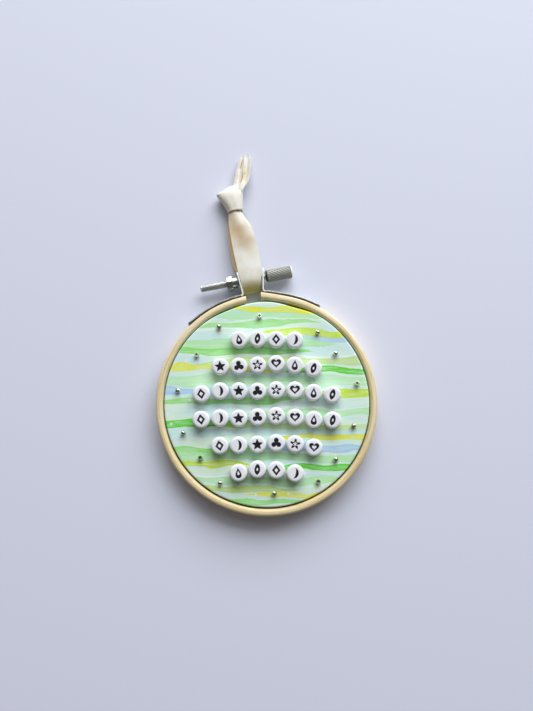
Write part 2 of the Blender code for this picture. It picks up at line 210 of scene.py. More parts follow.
# %% A helper for node graphs
class Graph:
    def __init__(self, tree):
        self.tree = tree

    def feed(self, socket, value):
        if isinstance(value, bpy.types.NodeSocket):
            self.tree.links.new(value, socket)
        else:
            socket.default_value = value

    def node(self, kind, inputs=None, **settings):
        made = self.tree.nodes.new(kind)
        for key, value in settings.items():
            setattr(made, key, value)
        for key, value in (inputs or {}).items():
            self.feed(made.inputs[key], value)
        return made

    def math(self, operation, *values):
        made = self.node("ShaderNodeMath", operation=operation)
        for socket, value in zip(made.inputs, values):
            self.feed(socket, value)
        return made.outputs[0]

    def plus(self, first, second):
        return self.math("ADD", first, second)

    def minus(self, first, second):
        return self.math("SUBTRACT", first, second)

    def times(self, first, second):
        return self.math("MULTIPLY", first, second)

    def smooth(self, value, low, high):
        """0 at low, 1 at high, and a soft step between."""
        inputs = {"Value": value, "From Min": low, "From Max": high}
        return self.node("ShaderNodeMapRange", inputs, interpolation_type="SMOOTHSTEP").outputs[0]

    def blend(self, share, first, second, way="MIX"):
        """Mix two colours. The colour sockets of a Mix node are its seventh and eighth inputs."""
        inputs = {0: share, 6: first, 7: second}
        return self.node("ShaderNodeMix", inputs, data_type="RGBA", blend_type=way).outputs[2]

    def shaded(self, colour, shade):
        return self.blend(1.0, colour, self.vector(shade, shade, shade), "MULTIPLY")

    def on_vectors(self, operation, inputs):
        return self.node("ShaderNodeVectorMath", inputs, operation=operation)

    def vector(self, x, y, z):
        return self.node("ShaderNodeCombineXYZ", {"X": x, "Y": y, "Z": z}).outputs[0]

    def noise(self, place, scale=1.0, detail=2.0, roughness=0.5):
        inputs = {"Vector": place, "Scale": scale, "Detail": detail, "Roughness": roughness}
        return self.node("ShaderNodeTexNoise", inputs).outputs[0]

    def waves(self, value, pitch):
        """A sine between 0 and 1 that repeats at the pitch."""
        wave = self.math("SINE", self.times(value, 2.0 * math.pi / pitch))
        return self.math("MULTIPLY_ADD", wave, 0.5, 0.5)

    def weave(self, x, y, warp_pitch, weft_pitch):
        """Crossing threads, each 0 at its edges and 1 on top, that take turns to lie over."""
        warp = self.waves(x, warp_pitch)
        weft = self.waves(y, weft_pitch)
        over = self.waves(self.plus(x, y), warp_pitch * 2.0)
        return self.plus(self.times(warp, over), self.times(weft, self.minus(1.0, over)))

    def apart(self, vector):
        return self.node("ShaderNodeSeparateXYZ", {0: vector}).outputs[:]

    def place_in_mm(self, centre):
        """Object coordinates in millimetres from a centre."""
        place = self.node("ShaderNodeTexCoord").outputs["Object"]
        moved = self.on_vectors("SUBTRACT", {0: place, 1: centre}).outputs[0]
        return self.on_vectors("SCALE", {0: moved, "Scale": 1.0 / MM}).outputs[0]


# %% Colours, and a new finish
def srgb(red, green, blue):
    """A colour as a picture editor shows it, 0 to 255, in the linear values that nodes take."""
    shares = [level / 255.0 for level in (red, green, blue)]
    return (*(s / 12.92 if s <= 0.04045 else ((s + 0.055) / 1.055) ** 2.4 for s in shares), 1.0)


def new_finish(name, roughness, metallic=0.0):
    """A material with an empty graph but for its shader, whose plain numbers are set here."""
    material = bpy.data.materials.new(name)
    material.use_nodes = True
    shader = material.node_tree.nodes["Principled BSDF"]
    shader.inputs["Roughness"].default_value = roughness
    shader.inputs["Metallic"].default_value = metallic
    return material, Graph(material.node_tree), shader


# %% [markdown]
# ## Camera, floor and light
#
# The hoop lies on a plain pale floor and is seen from above, a little from below its middle, as a
# hand-held camera 27 cm away sees it. One large soft light, as broad and cool as a window, stands
# two metres off beyond the hoop's top, a little to its right, and a wider and fainter one behind it
# plays the pale wall round that window. A dim warm surround fills the shadows, as the rest of a
# room does. They come first.

# %% Camera
CAMERA_HEIGHT = 267.5 * MM
CAMERA_TILT = 5.58
PICTURE_HEIGHT = 711
FOCAL_PIXELS = 640.0
SENSOR = 36.0
BESIDE_CENTRE = -0.12 * MM
BELOW_CENTRE = 5.9 * MM

camera_data = bpy.data.cameras.new("camera")
camera_data.sensor_width = SENSOR
camera_data.lens = FOCAL_PIXELS / PICTURE_HEIGHT * SENSOR
camera_data.clip_start = 0.01
camera = bpy.data.objects.new("camera", camera_data)
scene.collection.objects.link(camera)
camera.location = (BESIDE_CENTRE, HOOP_CENTRE.y - BELOW_CENTRE, CAMERA_HEIGHT)
camera.rotation_euler = (math.radians(CAMERA_TILT), 0.0, 0.0)
scene.camera = camera
print("lens", round(camera_data.lens, 2), "mm")

# %% Floor
FLOOR_SIZE = 3.0
FLOOR_GAP = 0.02 * MM
FLOOR_COLOUR = srgb(222, 224, 240)

put_down()
bpy.ops.mesh.primitive_plane_add(size=FLOOR_SIZE, location=(0.0, 0.0, -FLOOR_GAP))
floor = bpy.context.object
floor.name = "floor"
floor_paint, _, floor_shader = new_finish("pale_floor", 0.7)
floor_shader.inputs["Base Color"].default_value = FLOOR_COLOUR
floor.data.materials.append(floor_paint)
print("floor", FLOOR_SIZE, "m wide")

# %% Light
Lamp = namedtuple("Lamp", "name offset width height power")
LAMPS = (
    Lamp("window", Vector((0.44, 1.66, 1.03)), 2.2, 1.3, 51.0),
    Lamp("pale_wall", Vector((0.4, 2.3, 1.95)), 5.0, 3.0, 51.0),
)
LIGHT_COLOUR = (0.93, 0.965, 1.0)
SURROUND_COLOUR = (1.0, 0.95, 0.88, 1.0)
SURROUND_STRENGTH = 0.115

for kind in LAMPS:
    lamp_data = bpy.data.lights.new(kind.name, "AREA")
    lamp_data.shape = "RECTANGLE"
    lamp_data.size = kind.width
    lamp_data.size_y = kind.height
    lamp_data.energy = kind.power
    lamp_data.color = LIGHT_COLOUR
    lamp = bpy.data.objects.new(kind.name, lamp_data)
    scene.collection.objects.link(lamp)
    lamp.location = HOOP_CENTRE + kind.offset
    lamp.rotation_euler = kind.offset.to_track_quat("Z", "Y").to_euler()

surround = bpy.data.worlds.new("surround")
scene.world = surround
surround.use_nodes = True
background = surround.node_tree.nodes["Background"]
background.inputs["Color"].default_value = SURROUND_COLOUR
background.inputs["Strength"].default_value = SURROUND_STRENGTH
scene.view_settings.view_transform = "Standard"
print("lights", [round(kind.offset.length, 2) for kind in LAMPS], "m away")

# %% [markdown]
# ## Bamboo
#
# Both rings are strips of bamboo, bent round. The fibres run along the strip, so the grain follows
# the circle. Object coordinates alone would draw straight grain across it, so the pattern reads the
# distance round the hoop, the distance from its centre and the height instead. The angle jumps once
# in a full turn, and that seam is turned to lie in the outer ring's gap.

# %% The bamboo finish
GAP_ANGLE = -7.1
RING_MEAN_RADIUS = 43.0
Streak = namedtuple("Streak", "stretched fine detail")
FIBRE = Streak(0.05, 2.2, 3.0)
BAND = Streak(0.02, 0.8, 2.0)
PORE = Streak(0.2, 4.5, 1.0)
FIBRE_COLOURS = (srgb(228, 203, 148), srgb(252, 240, 206))
BAND_COLOUR = srgb(216, 186, 122)
LOW_SHADE_COLOUR = srgb(214, 188, 128)
PORE_COLOUR = srgb(176, 138, 84)


def relief(graph, shader, height, distance, strength=1.0):
    """Let a height between 0 and 1 raise the surface by up to the distance."""
    inputs = {"Height": height, "Distance": distance, "Strength": strength}
    graph.feed(shader.inputs["Normal"], graph.node("ShaderNodeBump", inputs).outputs[0])


def bamboo():
    material, graph, shader = new_finish("bamboo", 0.48)
    x, y, z = graph.apart(graph.place_in_mm(HOOP_CENTRE))
    turn = math.radians(GAP_ANGLE)
    up_gap = graph.plus(graph.times(x, math.sin(turn)), graph.times(y, math.cos(turn)))
    beside = graph.minus(graph.times(x, math.cos(turn)), graph.times(y, math.sin(turn)))
    along = graph.times(graph.math("ARCTAN2", beside, graph.times(up_gap, -1.0)), RING_MEAN_RADIUS)
    radius = graph.math("SQRT", graph.plus(graph.times(x, x), graph.times(y, y)))

    def streaks(kind):
        """Noise that is drawn out along the strip and fine across it."""
        across, down = graph.times(radius, kind.fine), graph.times(z, kind.fine)
        place = graph.vector(graph.times(along, kind.stretched), across, down)
        return graph.noise(place, 1.0, kind.detail, 0.6)

    fibre = streaks(FIBRE)
    band = streaks(BAND)
    pores = graph.smooth(streaks(PORE), 0.6, 0.74)
    # Painted shade: the wood is darker towards the bottom of the hoop, away from the gap.
    low_shade = graph.smooth(up_gap, 25.0, -40.0)
    colour = graph.blend(graph.smooth(fibre, 0.32, 0.68), *FIBRE_COLOURS)
    colour = graph.blend(graph.times(graph.smooth(band, 0.48, 0.74), 0.4), colour, BAND_COLOUR)
    colour = graph.blend(graph.times(low_shade, 0.42), colour, LOW_SHADE_COLOUR)
    colour = graph.blend(graph.times(pores, 0.45), colour, PORE_COLOUR)
    graph.feed(shader.inputs["Base Color"], colour)
    relief(graph, shader, graph.minus(fibre, graph.times(pores, 0.5)), 0.12 * MM, 0.6)
    return material


wood = bamboo()
print(wood.name, "with", len(wood.node_tree.nodes), "nodes")

# %% [markdown]
# ## The outer ring
#
# A strip of bamboo 2.9 mm thick and 8 mm deep, bent into a ring that stays open at the top, where
# the screw draws it together. Its front edges are well rounded and its back edges only a little.
# The section is a plane with rounded corners, and spin carries it round the hoop. The right-hand
# end springs outwards a little, which no operator does softly, so the points of that stretch are
# moved by a formula, with the slight unevenness of bent and sanded wood.

# %% The outer ring's section
WOOD_THICK = 2.9 * MM
FRONT_ROUNDING = 1.2 * MM
BACK_ROUNDING = 0.4 * MM
RIGHT_END_ANGLE = -3.1
LEFT_END_ANGLE = 348.9
RING_STEPS = 200
ALONG_X = (0.0, math.radians(90.0), 0.0)


def ring_section(centre, outer, thick, high, front, back):
    """The outline of a ring's section at the hoop's top, with rounded corners, in edit mode."""
    put_down()
    middle = centre + Vector((0.0, outer - thick / 2.0, high / 2.0))
    bpy.ops.mesh.primitive_plane_add(size=1.0, location=middle, rotation=ALONG_X)
    section = bpy.context.object
    section.scale = (high, thick, 1.0)
    apply_place()
    edit(section)
    select_points(lambda point: point.z > high - MM / 10.0)
    bpy.ops.mesh.bevel(offset=front, segments=6, affect="VERTICES")
    select_points(lambda point: point.z < MM / 10.0)
    bpy.ops.mesh.bevel(offset=back, segments=3, affect="VERTICES")
    return section


outer_ring = ring_section(HOOP_CENTRE, HOOP_RADIUS, WOOD_THICK, RING_DEPTH,
                          FRONT_ROUNDING, BACK_ROUNDING)
bpy.ops.mesh.select_all(action="SELECT")
bpy.ops.mesh.spin(steps=RING_STEPS, angle=math.radians(LEFT_END_ANGLE - RIGHT_END_ANGLE),
                  center=HOOP_CENTRE, axis=(0.0, 0.0, 1.0))
close_up()
print("outer ring has", len(outer_ring.data.vertices), "points")

# %% The sprung end and the hand-sanded surface
FLARE = 0.95 * MM
FLARE_FROM_ANGLE = 10.0
SANDING = 0.035 * MM


def flare(angle):
    """How far the outer ring's right-hand end springs outwards at this angle."""
    if angle >= FLARE_FROM_ANGLE:
        return 0.0
    return FLARE * ((FLARE_FROM_ANGLE - angle) / (FLARE_FROM_ANGLE - RIGHT_END_ANGLE)) ** 2


def sprung(point):
    """Turn a point of the spun ring to its real start, spring it out, and wear it a little."""
    across = point - HOOP_CENTRE
    spun = math.degrees(math.atan2(across.x, across.y)) % 360.0
    if spun >= LEFT_END_ANGLE - RIGHT_END_ANGLE + 1.0:
        spun -= 360.0
    angle = RIGHT_END_ANGLE + spun
    radius = math.hypot(across.x, across.y) + flare(angle)
    radius += SANDING * (math.sin(angle * 0.11 + 1.0) + 0.6 * math.sin(angle * 0.27 + point.z / MM))
    return round_hoop(angle, radius, point.z)


move_points(outer_ring, sprung)
settle(outer_ring, "bamboo_outer_ring")
stand_for(outer_ring, "outer_ring", wood)

# %% [markdown]
# ## The inner ring
#
# A closed ring that the cloth is stretched over. From the front only its roundness shows at the
# cloth's edge, and from the back its whole face. Its section is spun as bare edges: a face would be
# left inside where the full turn closes.

# %% The inner ring, spun as edges
INNER_RING_OUTER = 40.3 * MM
INNER_RING_THICK = 3.4 * MM
INNER_RING_ROUNDING = 0.6 * MM
FULL_TURN = math.radians(360.0)
inner_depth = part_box("inner_ring")[1].z

inner_ring = ring_section(CLOTH_CENTRE, INNER_RING_OUTER, INNER_RING_THICK, inner_depth,
                          INNER_RING_ROUNDING, INNER_RING_ROUNDING)
bpy.ops.mesh.select_all(action="SELECT")
bpy.ops.mesh.delete(type="ONLY_FACE")
bpy.ops.mesh.select_all(action="SELECT")
bpy.ops.mesh.spin(steps=RING_STEPS, angle=FULL_TURN, center=CLOTH_CENTRE, axis=(0.0, 0.0, -1.0))
close_up()
settle(inner_ring, "bamboo_inner_ring")
stand_for(inner_ring, "inner_ring", wood)

# %% [markdown]
# ## The print
#
# The cloth is a quilting cotton printed with watercolour brush strokes: pale aqua paper showing
# through, and long level strokes of lime, yellow, green and a little blue, with crisp wavering
# edges where the paint dried. The print here has strokes of its own, laid out in a short table.
# One node group paints one stroke over the colour below it, and the table chains the groups. All
# strokes read the same wavering coordinates, which makes neighbours bend together like real washes.

# %% One brush stroke as a node group
def stroke_group():
    tree = bpy.data.node_groups.new("brush_stroke", "ShaderNodeTree")
    tree.interface.new_socket("Below", in_out="INPUT", socket_type="NodeSocketColor")
    for name in ("X", "Y", "Grain", "Middle", "Tilt", "Half", "Start", "End", "Strength"):
        tree.interface.new_socket(name, in_out="INPUT", socket_type="NodeSocketFloat")
    tree.interface.new_socket("Paint", in_out="INPUT", socket_type="NodeSocketColor")
    tree.interface.new_socket("Colour", in_out="OUTPUT", socket_type="NodeSocketColor")
    graph = Graph(tree)
    given = graph.node("NodeGroupInput").outputs
    middle = graph.math("MULTIPLY_ADD", given["X"], given["Tilt"], given["Middle"])
    off_middle = graph.math("ABSOLUTE", graph.minus(given["Y"], middle))
    from_start = graph.minus(given["X"], given["Start"])
    from_end = graph.minus(given["End"], given["X"])
    nearest_end = graph.math("MINIMUM", from_start, from_end)
    taper = graph.math("POWER", graph.smooth(nearest_end, 0.0, 16.0), 0.6)
    half = graph.times(given["Half"], taper)
    inside = graph.minus(half, off_middle)
    cover = graph.smooth(inside, -0.08, 0.14)
    rim = graph.minus(graph.smooth(inside, 0.0, 0.2), graph.smooth(inside, 0.2, 0.9))
    wash = graph.math("MULTIPLY_ADD", given["Grain"], 0.5, 0.55)
    depth = graph.math("MINIMUM", graph.math("MULTIPLY_ADD", rim, 0.35, wash), 1.0)
    share = graph.times(graph.times(cover, depth), given["Strength"])
    result = graph.node("NodeGroupOutput")
    tree.links.new(graph.blend(share, given["Below"], given["Paint"]), result.inputs["Colour"])
    return tree


brush_stroke = stroke_group()
print("one stroke takes", len(brush_stroke.nodes), "nodes")

# %% The strokes and their paints
PAINTS = {
    "lime": srgb(208, 236, 62),
    "yellow": srgb(238, 242, 74),
    "green": srgb(154, 234, 122),
    "vivid": srgb(102, 220, 32),
    "mint": srgb(186, 242, 174),
    "olive": srgb(200, 230, 114),
    "blue": srgb(176, 212, 248),
    "aqua": srgb(208, 243, 240),
    "white": srgb(248, 255, 250),
}
Stroke = namedtuple("Stroke", "paint y start end half tilt strength")
STROKES = (
    Stroke("mint", 36.4, -40, 34, 1.9, 0.010, 0.8),
    Stroke("yellow", 38.6, -18, 30, 1.5, -0.020, 1.0),
    Stroke("green", 32.6, -30, 24, 1.3, 0.030, 0.8),
    Stroke("lime", 29.0, -6, 48, 1.3, -0.015, 1.0),
    Stroke("white", 30.6, -48, -2, 0.4, 0.010, 0.8),
    Stroke("blue", 26.0, 2, 50, 1.2, 0.020, 0.8),
    Stroke("mint", 24.2, -52, 30, 2.1, 0.010, 0.9),
    Stroke("green", 21.0, -52, 20, 1.5, -0.020, 1.0),
    Stroke("white", 18.9, -14, 48, 0.3, 0.010, 0.9),
    Stroke("olive", 16.4, -30, 52, 1.7, 0.020, 0.8),
    Stroke("yellow", 13.4, -54, 6, 1.3, -0.030, 1.0),
    Stroke("vivid", 12.6, 6, 54, 1.3, 0.018, 1.0),
    Stroke("mint", 8.8, -54, 54, 2.0, -0.006, 0.7),
    Stroke("blue", 6.2, -56, -6, 1.3, 0.026, 0.9),
    Stroke("lime", 4.6, 4, 54, 1.3, -0.024, 1.0),
    Stroke("green", 1.0, -48, 16, 1.5, 0.012, 0.9),
    Stroke("white", -1.4, -20, 54, 0.4, -0.010, 0.9),
    Stroke("mint", -4.0, -10, 56, 1.8, 0.014, 0.9),
    Stroke("vivid", -7.8, -54, -2, 1.5, 0.018, 1.0),
    Stroke("olive", -9.4, -20, 52, 1.5, -0.016, 0.7),
    Stroke("aqua", -12.0, -52, 52, 1.4, 0.004, 0.9),
    Stroke("yellow", -14.4, 2, 52, 1.1, 0.020, 1.0),
    Stroke("blue", -17.4, -8, 46, 1.2, -0.020, 0.9),
    Stroke("green", -18.6, -52, 2, 1.4, 0.026, 1.0),
    Stroke("mint", -21.6, -46, 50, 1.7, -0.008, 0.9),
    Stroke("lime", -25.0, -50, -4, 1.2, -0.024, 1.0),
    Stroke("vivid", -26.4, -2, 44, 1.4, 0.024, 1.0),
    Stroke("white", -28.6, -40, 20, 0.4, 0.010, 0.9),
    Stroke("mint", -31.0, -36, 36, 1.5, -0.010, 0.9),
    Stroke("olive", -34.2, -34, 14, 1.3, 0.014, 0.9),
    Stroke("yellow", -36.6, -10, 30, 1.2, 0.020, 1.0),
    Stroke("green", -39.6, -24, 26, 1.1, -0.010, 0.9),
)
print(len(STROKES), "strokes in", len(PAINTS), "paints")

# %% The cotton's finish
THREAD_PITCH = 0.42
WAVER_HEIGHT = 6.0
RAGGED_HEIGHT = 1.3
Drawn = namedtuple("Drawn", "along across layer detail roughness")
WAVER = Drawn(0.05, 0.12, 0.0, 1.0, 0.5)
RAGGED = Drawn(0.16, 0.5, 4.0, 3.0, 0.6)
GRAIN = Drawn(0.12, 0.8, 9.0, 4.0, 0.6)
PAPER = Drawn(0.03, 0.2, 2.0, 2.0, 0.5)
SLUB = Drawn(0.08, 2.0, 1.0, 2.0, 0.5)
PAPER_COLOURS = (srgb(228, 250, 228), srgb(216, 244, 242))
SPECK_COLOUR = srgb(244, 250, 250)
UNDERSIDE_COLOUR = srgb(236, 240, 232)


def printed_cotton():
    material, graph, shader = new_finish("printed_cotton", 0.82)
    shader.inputs["Sheen Weight"].default_value = 0.15
    place = graph.place_in_mm(CLOTH_CENTRE)
    x, y, _ = graph.apart(place)

    def streaked(kind):
        """Noise drawn out along the strokes, each kind from a layer of its own."""
        drawn = graph.vector(graph.times(x, kind.along), graph.times(y, kind.across), kind.layer)
        return graph.noise(drawn, 1.0, kind.detail, kind.roughness)

    waver = graph.times(graph.minus(streaked(WAVER), 0.5), WAVER_HEIGHT)
    ragged = graph.times(graph.minus(streaked(RAGGED), 0.5), RAGGED_HEIGHT)
    wavering_y = graph.plus(graph.plus(y, waver), ragged)
    wavering_x = graph.math("MULTIPLY_ADD", ragged, 2.5, x)
    grain = graph.smooth(streaked(GRAIN), 0.3, 0.7)
    paper = graph.smooth(streaked(PAPER), 0.35, 0.65)
    colour = graph.blend(paper, *PAPER_COLOURS)
    for stroke in STROKES:
        inputs = {"Below": colour, "X": wavering_x, "Y": wavering_y, "Grain": grain,
                  "Middle": stroke.y, "Tilt": stroke.tilt, "Half": stroke.half,
                  "Start": stroke.start, "End": stroke.end, "Strength": stroke.strength,
                  "Paint": PAINTS[stroke.paint]}
        painted = graph.node("ShaderNodeGroup", node_tree=brush_stroke)
        for name, value in inputs.items():
            graph.feed(painted.inputs[name], float(value) if isinstance(value, int) else value)
        colour = painted.outputs["Colour"]

    cells = graph.node("ShaderNodeTexVoronoi", {"Vector": place, "Scale": 0.16, "Randomness": 1.0})
    specks = graph.minus(1.0, graph.smooth(cells.outputs["Distance"], 0.07, 0.12))
    colour = graph.blend(graph.times(specks, 0.8), colour, SPECK_COLOUR)

    weave = graph.weave(x, y, THREAD_PITCH, THREAD_PITCH)
    slub = streaked(SLUB)
    shade = graph.math("MULTIPLY_ADD", weave, 0.07, graph.math("MULTIPLY_ADD", slub, 0.14, 0.86))
    colour = graph.shaded(colour, shade)
    normal_z = graph.apart(graph.node("ShaderNodeTexCoord").outputs["Normal"])[2]
    underside = graph.minus(1.0, graph.smooth(normal_z, -0.5, 0.0))
    colour = graph.blend(graph.times(underside, 0.7), colour, UNDERSIDE_COLOUR)
    graph.feed(shader.inputs["Base Color"], colour)
    relief(graph, shader, graph.plus(weave, slub), 0.05 * MM, 0.6)
    return material


cotton = printed_cotton()
print(cotton.name, "with", len(cotton.node_tree.nodes), "nodes")

# %% [markdown]
# ## The cloth
#
# The cloth is a disc drawn taut over the inner ring, with its edge turned down between the two
# rings. Seen from the side its shape is one profile line, flat, then rounding over, then straight
# down, so that line is drawn and spun a full turn. The stitches of the beads pull it down a
# little, and beside the screw the edge is drawn in where the fabric was pulled tight. A formula
# adds both: a shallow dent at each small bead and two shallow hollows in the edge. Solidify then
# gives it its thickness.

# %% A line drawn from place to place
def extrude(move):
    """In edit mode, extrude what is selected and move it on."""
    bpy.ops.mesh.extrude_region_move(TRANSFORM_OT_translate={"value": move})


def drawn_line(points):
    """A chain of edges: a plane merged to one point, which is extruded from place to place."""
    put_down()
    bpy.ops.mesh.primitive_plane_add(size=MM, location=points[0])
    line = bpy.context.object
    apply_place()
    edit(line)
    bpy.ops.mesh.merge(type="CENTER")
    for here, there in zip(points, points[1:]):
        extrude(there - here)
    leave_edit()
    return line


# %% The cloth's profile, spun
CLOTH_RADIUS = 41.6 * MM
CLOTH_ROUNDING = 0.6 * MM
CLOTH_HEM = 0.6 * MM
CLOTH_THICK = 0.4 * MM
FACE_RINGS = 56
ROUNDING_STEPS = 6
SIDE_STEPS = 5
CLOTH_STEPS = 216

flat_radius = CLOTH_RADIUS - CLOTH_ROUNDING
turned_down = CLOTH_TOP - CLOTH_ROUNDING
profile = [(i / FACE_RINGS * flat_radius, CLOTH_TOP) for i in range(FACE_RINGS + 1)]
for i in range(1, ROUNDING_STEPS + 1):
    turn = math.radians(90.0 - 90.0 / ROUNDING_STEPS * i)
    profile.append((CLOTH_RADIUS - CLOTH_ROUNDING * (1.0 - math.cos(turn)),
                    CLOTH_TOP - CLOTH_ROUNDING * (1.0 - math.sin(turn))))
for i in range(1, SIDE_STEPS + 1):
    profile.append((CLOTH_RADIUS, turned_down - i / SIDE_STEPS * (turned_down - CLOTH_HEM)))
cloth = drawn_line([CLOTH_CENTRE + Vector((0.0, across, z)) for across, z in profile])
edit(cloth)
bpy.ops.mesh.spin(steps=CLOTH_STEPS, angle=FULL_TURN, center=CLOTH_CENTRE, axis=(0.0, 0.0, -1.0))
close_up()
print("cloth has", len(cloth.data.vertices), "points")

# %% Where the beads are
bead_nodes = sorted(name for name in frame["nodes"] if "_bead_" in name)
bead_places = {}
for name in bead_nodes:
    low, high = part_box(name)
    bead_places[name] = (low + high) / 2.0
seed_places = [place for name, place in bead_places.items() if name.startswith("seed")]
print(len(bead_places), "beads,", len(seed_places), "of them small")

# %% Dents at the stitches, and the thickness
STITCH_DENT = 0.12 * MM
DENT_WIDTH = 2.2 * MM
PULL_FROM = 36.0 * MM
Pull = namedtuple("Pull", "angle width depth")
PULLS = (Pull(16.0, 9.0, 0.8 * MM), Pull(-22.0, 10.0, 0.45 * MM))


def apply_modifier(piece, kind, **settings):
    pick_up(piece)
    modifier = piece.modifiers.new(kind.lower(), kind)
    for key, value in settings.items():
        setattr(modifier, key, value)
    bpy.ops.object.modifier_apply(modifier=modifier.name)


def drawn_in(point):
    """Pull the edge of the cloth towards its centre at the two hollows."""
    across = (point - CLOTH_CENTRE).xy
    if across.length < PULL_FROM:
        return point
    angle = math.degrees(math.atan2(across.x, across.y))
    share = (across.length - PULL_FROM) / (CLOTH_RADIUS - PULL_FROM)
    pull = sum(spot.depth * math.exp(-((angle - spot.angle) / spot.width) ** 2) for spot in PULLS)
    inwards = across.normalized() * pull * share ** 2
    return point - Vector((inwards.x, inwards.y, 0.0))


def dented(point):
    if point.z < CLOTH_TOP - MM / 10.0:
        return point
    near = sum(math.exp(-((point.xy - place.xy).length / DENT_WIDTH) ** 2) for place in seed_places)
    return point - Vector((0.0, 0.0, STITCH_DENT * near))


move_points(cloth, dented)
move_points(cloth, drawn_in)
apply_modifier(cloth, "SOLIDIFY", thickness=CLOTH_THICK, offset=-1.0)
settle(cloth, "printed_cloth", smooth=60.0)
stand_for(cloth, "cloth", cotton)

# %% [markdown]
# ## Zinc-plated steel
#
# The screw, the nut and the two straps are steel with a bright zinc plating that has gone a little
# cloudy. It is a metal with a soft mottling in colour and gloss, and fine rub marks. The narrow
# edges of the ears, where they were sheared from the sheet, are duller and so look white from
# everywhere.
# Painted shade darkens what lies deep in the thread and in the grooves of the head, which is duller
# as well: there the finish reads how far a point is from the screw's axis. The same painted shade
# fills the narrow gap at the head's inner end.

# %% The steel finish
DeepShade = namedtuple("DeepShade", "reach clean end colour")
# Painted shade in the thread's roots, and in the head's grooves and the gap at its inner end.
THREAD_ROOT_SHADE = DeepShade(1.34, 1.54, -21.0, srgb(116, 114, 88))
HEAD_GROOVE_SHADE = DeepShade(2.66, 2.795, 16.9, srgb(20, 22, 14))
CLOUDY_ZINC = (srgb(176, 184, 180), srgb(214, 214, 202))
WHITE_ZINC = (srgb(228, 232, 230), srgb(242, 242, 238))
CREAM_ZINC = (srgb(250, 250, 240), srgb(255, 254, 242))


def zinc_steel(name, least_roughness, metallic, zinc=CLOUDY_ZINC, deep_shade=None):
    material, graph, shader = new_finish(name, least_roughness, metallic)
    place = graph.place_in_mm(SCREW_CENTRE)
    cloud = graph.noise(place, 0.6, 3.0, 0.6)
    rubs = graph.noise(place, 6.0, 2.0, 0.5)
    colour = graph.blend(graph.smooth(cloud, 0.35, 0.65), *zinc)
    # Painted shade, full near the axis and gone where the surface stands out.
    if deep_shade:
        across = graph.on_vectors("CROSS_PRODUCT", {0: place, 1: SCREW_AXIS}).outputs[0]
        from_axis = graph.on_vectors("LENGTH", {0: across}).outputs["Value"]
        along = graph.on_vectors("DOT_PRODUCT", {0: place, 1: SCREW_AXIS}).outputs["Value"]
        deep = graph.minus(1.0, graph.smooth(from_axis, deep_shade.reach, deep_shade.clean))
        side = "LESS_THAN" if deep_shade.end > 0.0 else "GREATER_THAN"
        before_end = graph.math(side, along, deep_shade.end)
        colour = graph.blend(graph.times(deep, before_end), colour, deep_shade.colour)
    graph.feed(shader.inputs["Base Color"], colour)
    dull = graph.math("MULTIPLY_ADD", cloud, 0.14, least_roughness)
    graph.feed(shader.inputs["Roughness"], graph.math("MULTIPLY_ADD", rubs, 0.12, dull))
    relief(graph, shader, rubs, 0.006 * MM, 0.5)
    return material


steel = zinc_steel("zinc_steel", 0.2, 1.0)
threaded_steel = zinc_steel("threaded_steel", 0.3, 0.75, WHITE_ZINC, THREAD_ROOT_SHADE)
sheared_steel = zinc_steel("sheared_steel", 0.5, 0.2, WHITE_ZINC)
knurled_steel = zinc_steel("knurled_steel", 0.32, 0.15, CREAM_ZINC, HEAD_GROOVE_SHADE)
print("steel finishes:", steel.name, threaded_steel.name, sheared_steel.name, knurled_steel.name)

# %% [markdown]
# ## The straps and their ears
#
# Each strap is one strip of thin steel. It runs along the outside of the ring and turns up into an
# ear with a hole for the screw. So it is drawn as a line along its route, extruded to its width,
# rounded at its four corners, and then given its thickness and its hole.

# %% The straps' route
STRAP_THICK = 0.6 * MM
STRAP_LOW = 0.4 * MM
STRAP_CORNER = 2.0 * MM
STRAP_STATIONS = 13
STRAP_GAP = 0.3 * MM
BEND_RADIUS = 1.0 * MM
BEND_STEPS = 6
Strap = namedtuple("Strap", "name tip_angle foot_angle ear_lean ear_length curl")
STRAPS = (
    Strap("strap_left", 315.0, 347.8, -15.7, 10.4 * MM, 0.4 * MM),
    Strap("strap_right", 29.0, -1.8, -0.7, 10.2 * MM, 0.0),
)


def strap_route(strap):
    """Middle line of a strap: round the hoop from its tip, then out along its ear."""
    middle = HOOP_RADIUS + STRAP_GAP + STRAP_THICK / 2.0
    whole = strap.foot_angle - strap.tip_angle
    last = strap.foot_angle - math.copysign(math.degrees(BEND_RADIUS / middle), whole)
    route = []
    for i in range(STRAP_STATIONS):
        angle = strap.tip_angle + (last - strap.tip_angle) * i / (STRAP_STATIONS - 1)
        route.append(round_hoop(angle, middle + flare(angle), STRAP_LOW))
    route[0] = round_hoop(strap.tip_angle, middle + strap.curl, STRAP_LOW)
    lean = math.radians(strap.ear_lean)
    ear_direction = Vector((math.sin(lean), math.cos(lean), 0.0))
    corner = round_hoop(strap.foot_angle, middle + flare(strap.foot_angle), STRAP_LOW)
    bend_start = route[-1]
    bend_end = corner + ear_direction * BEND_RADIUS
    for step in range(1, BEND_STEPS + 1):
        share = step / BEND_STEPS
        route.append(bend_start.lerp(corner, share).lerp(corner.lerp(bend_end, share), share))
    route.append(corner + ear_direction * (strap.ear_length - STRAP_CORNER * 1.1))
    route.append(corner + ear_direction * strap.ear_length)
    return route


routes = [strap_route(strap) for strap in STRAPS]
print("points in the routes:", [len(route) for route in routes])

# %% Rods along the screw, and cuts
ORIGIN = (0.0, 0.0, 0.0)


def cylinder(sides, radius, length, middle=ORIGIN, turn=ORIGIN, **settings):
    """A cylinder with its place and turn already in its mesh."""
    put_down()
    bpy.ops.mesh.primitive_cylinder_add(vertices=sides, radius=radius, depth=length,
                                        location=middle, rotation=turn, **settings)
    apply_place()
    return bpy.context.object


def rod_along_screw(radius, start, end, sides):
    """A cylinder along the screw, from start to end."""
    middle = by_screw((start + end) / 2.0, 0.0, SCREW_CENTRE.z)
    return cylinder(sides, radius, end - start, middle, (0.0, math.radians(90.0), SCREW_TURN))


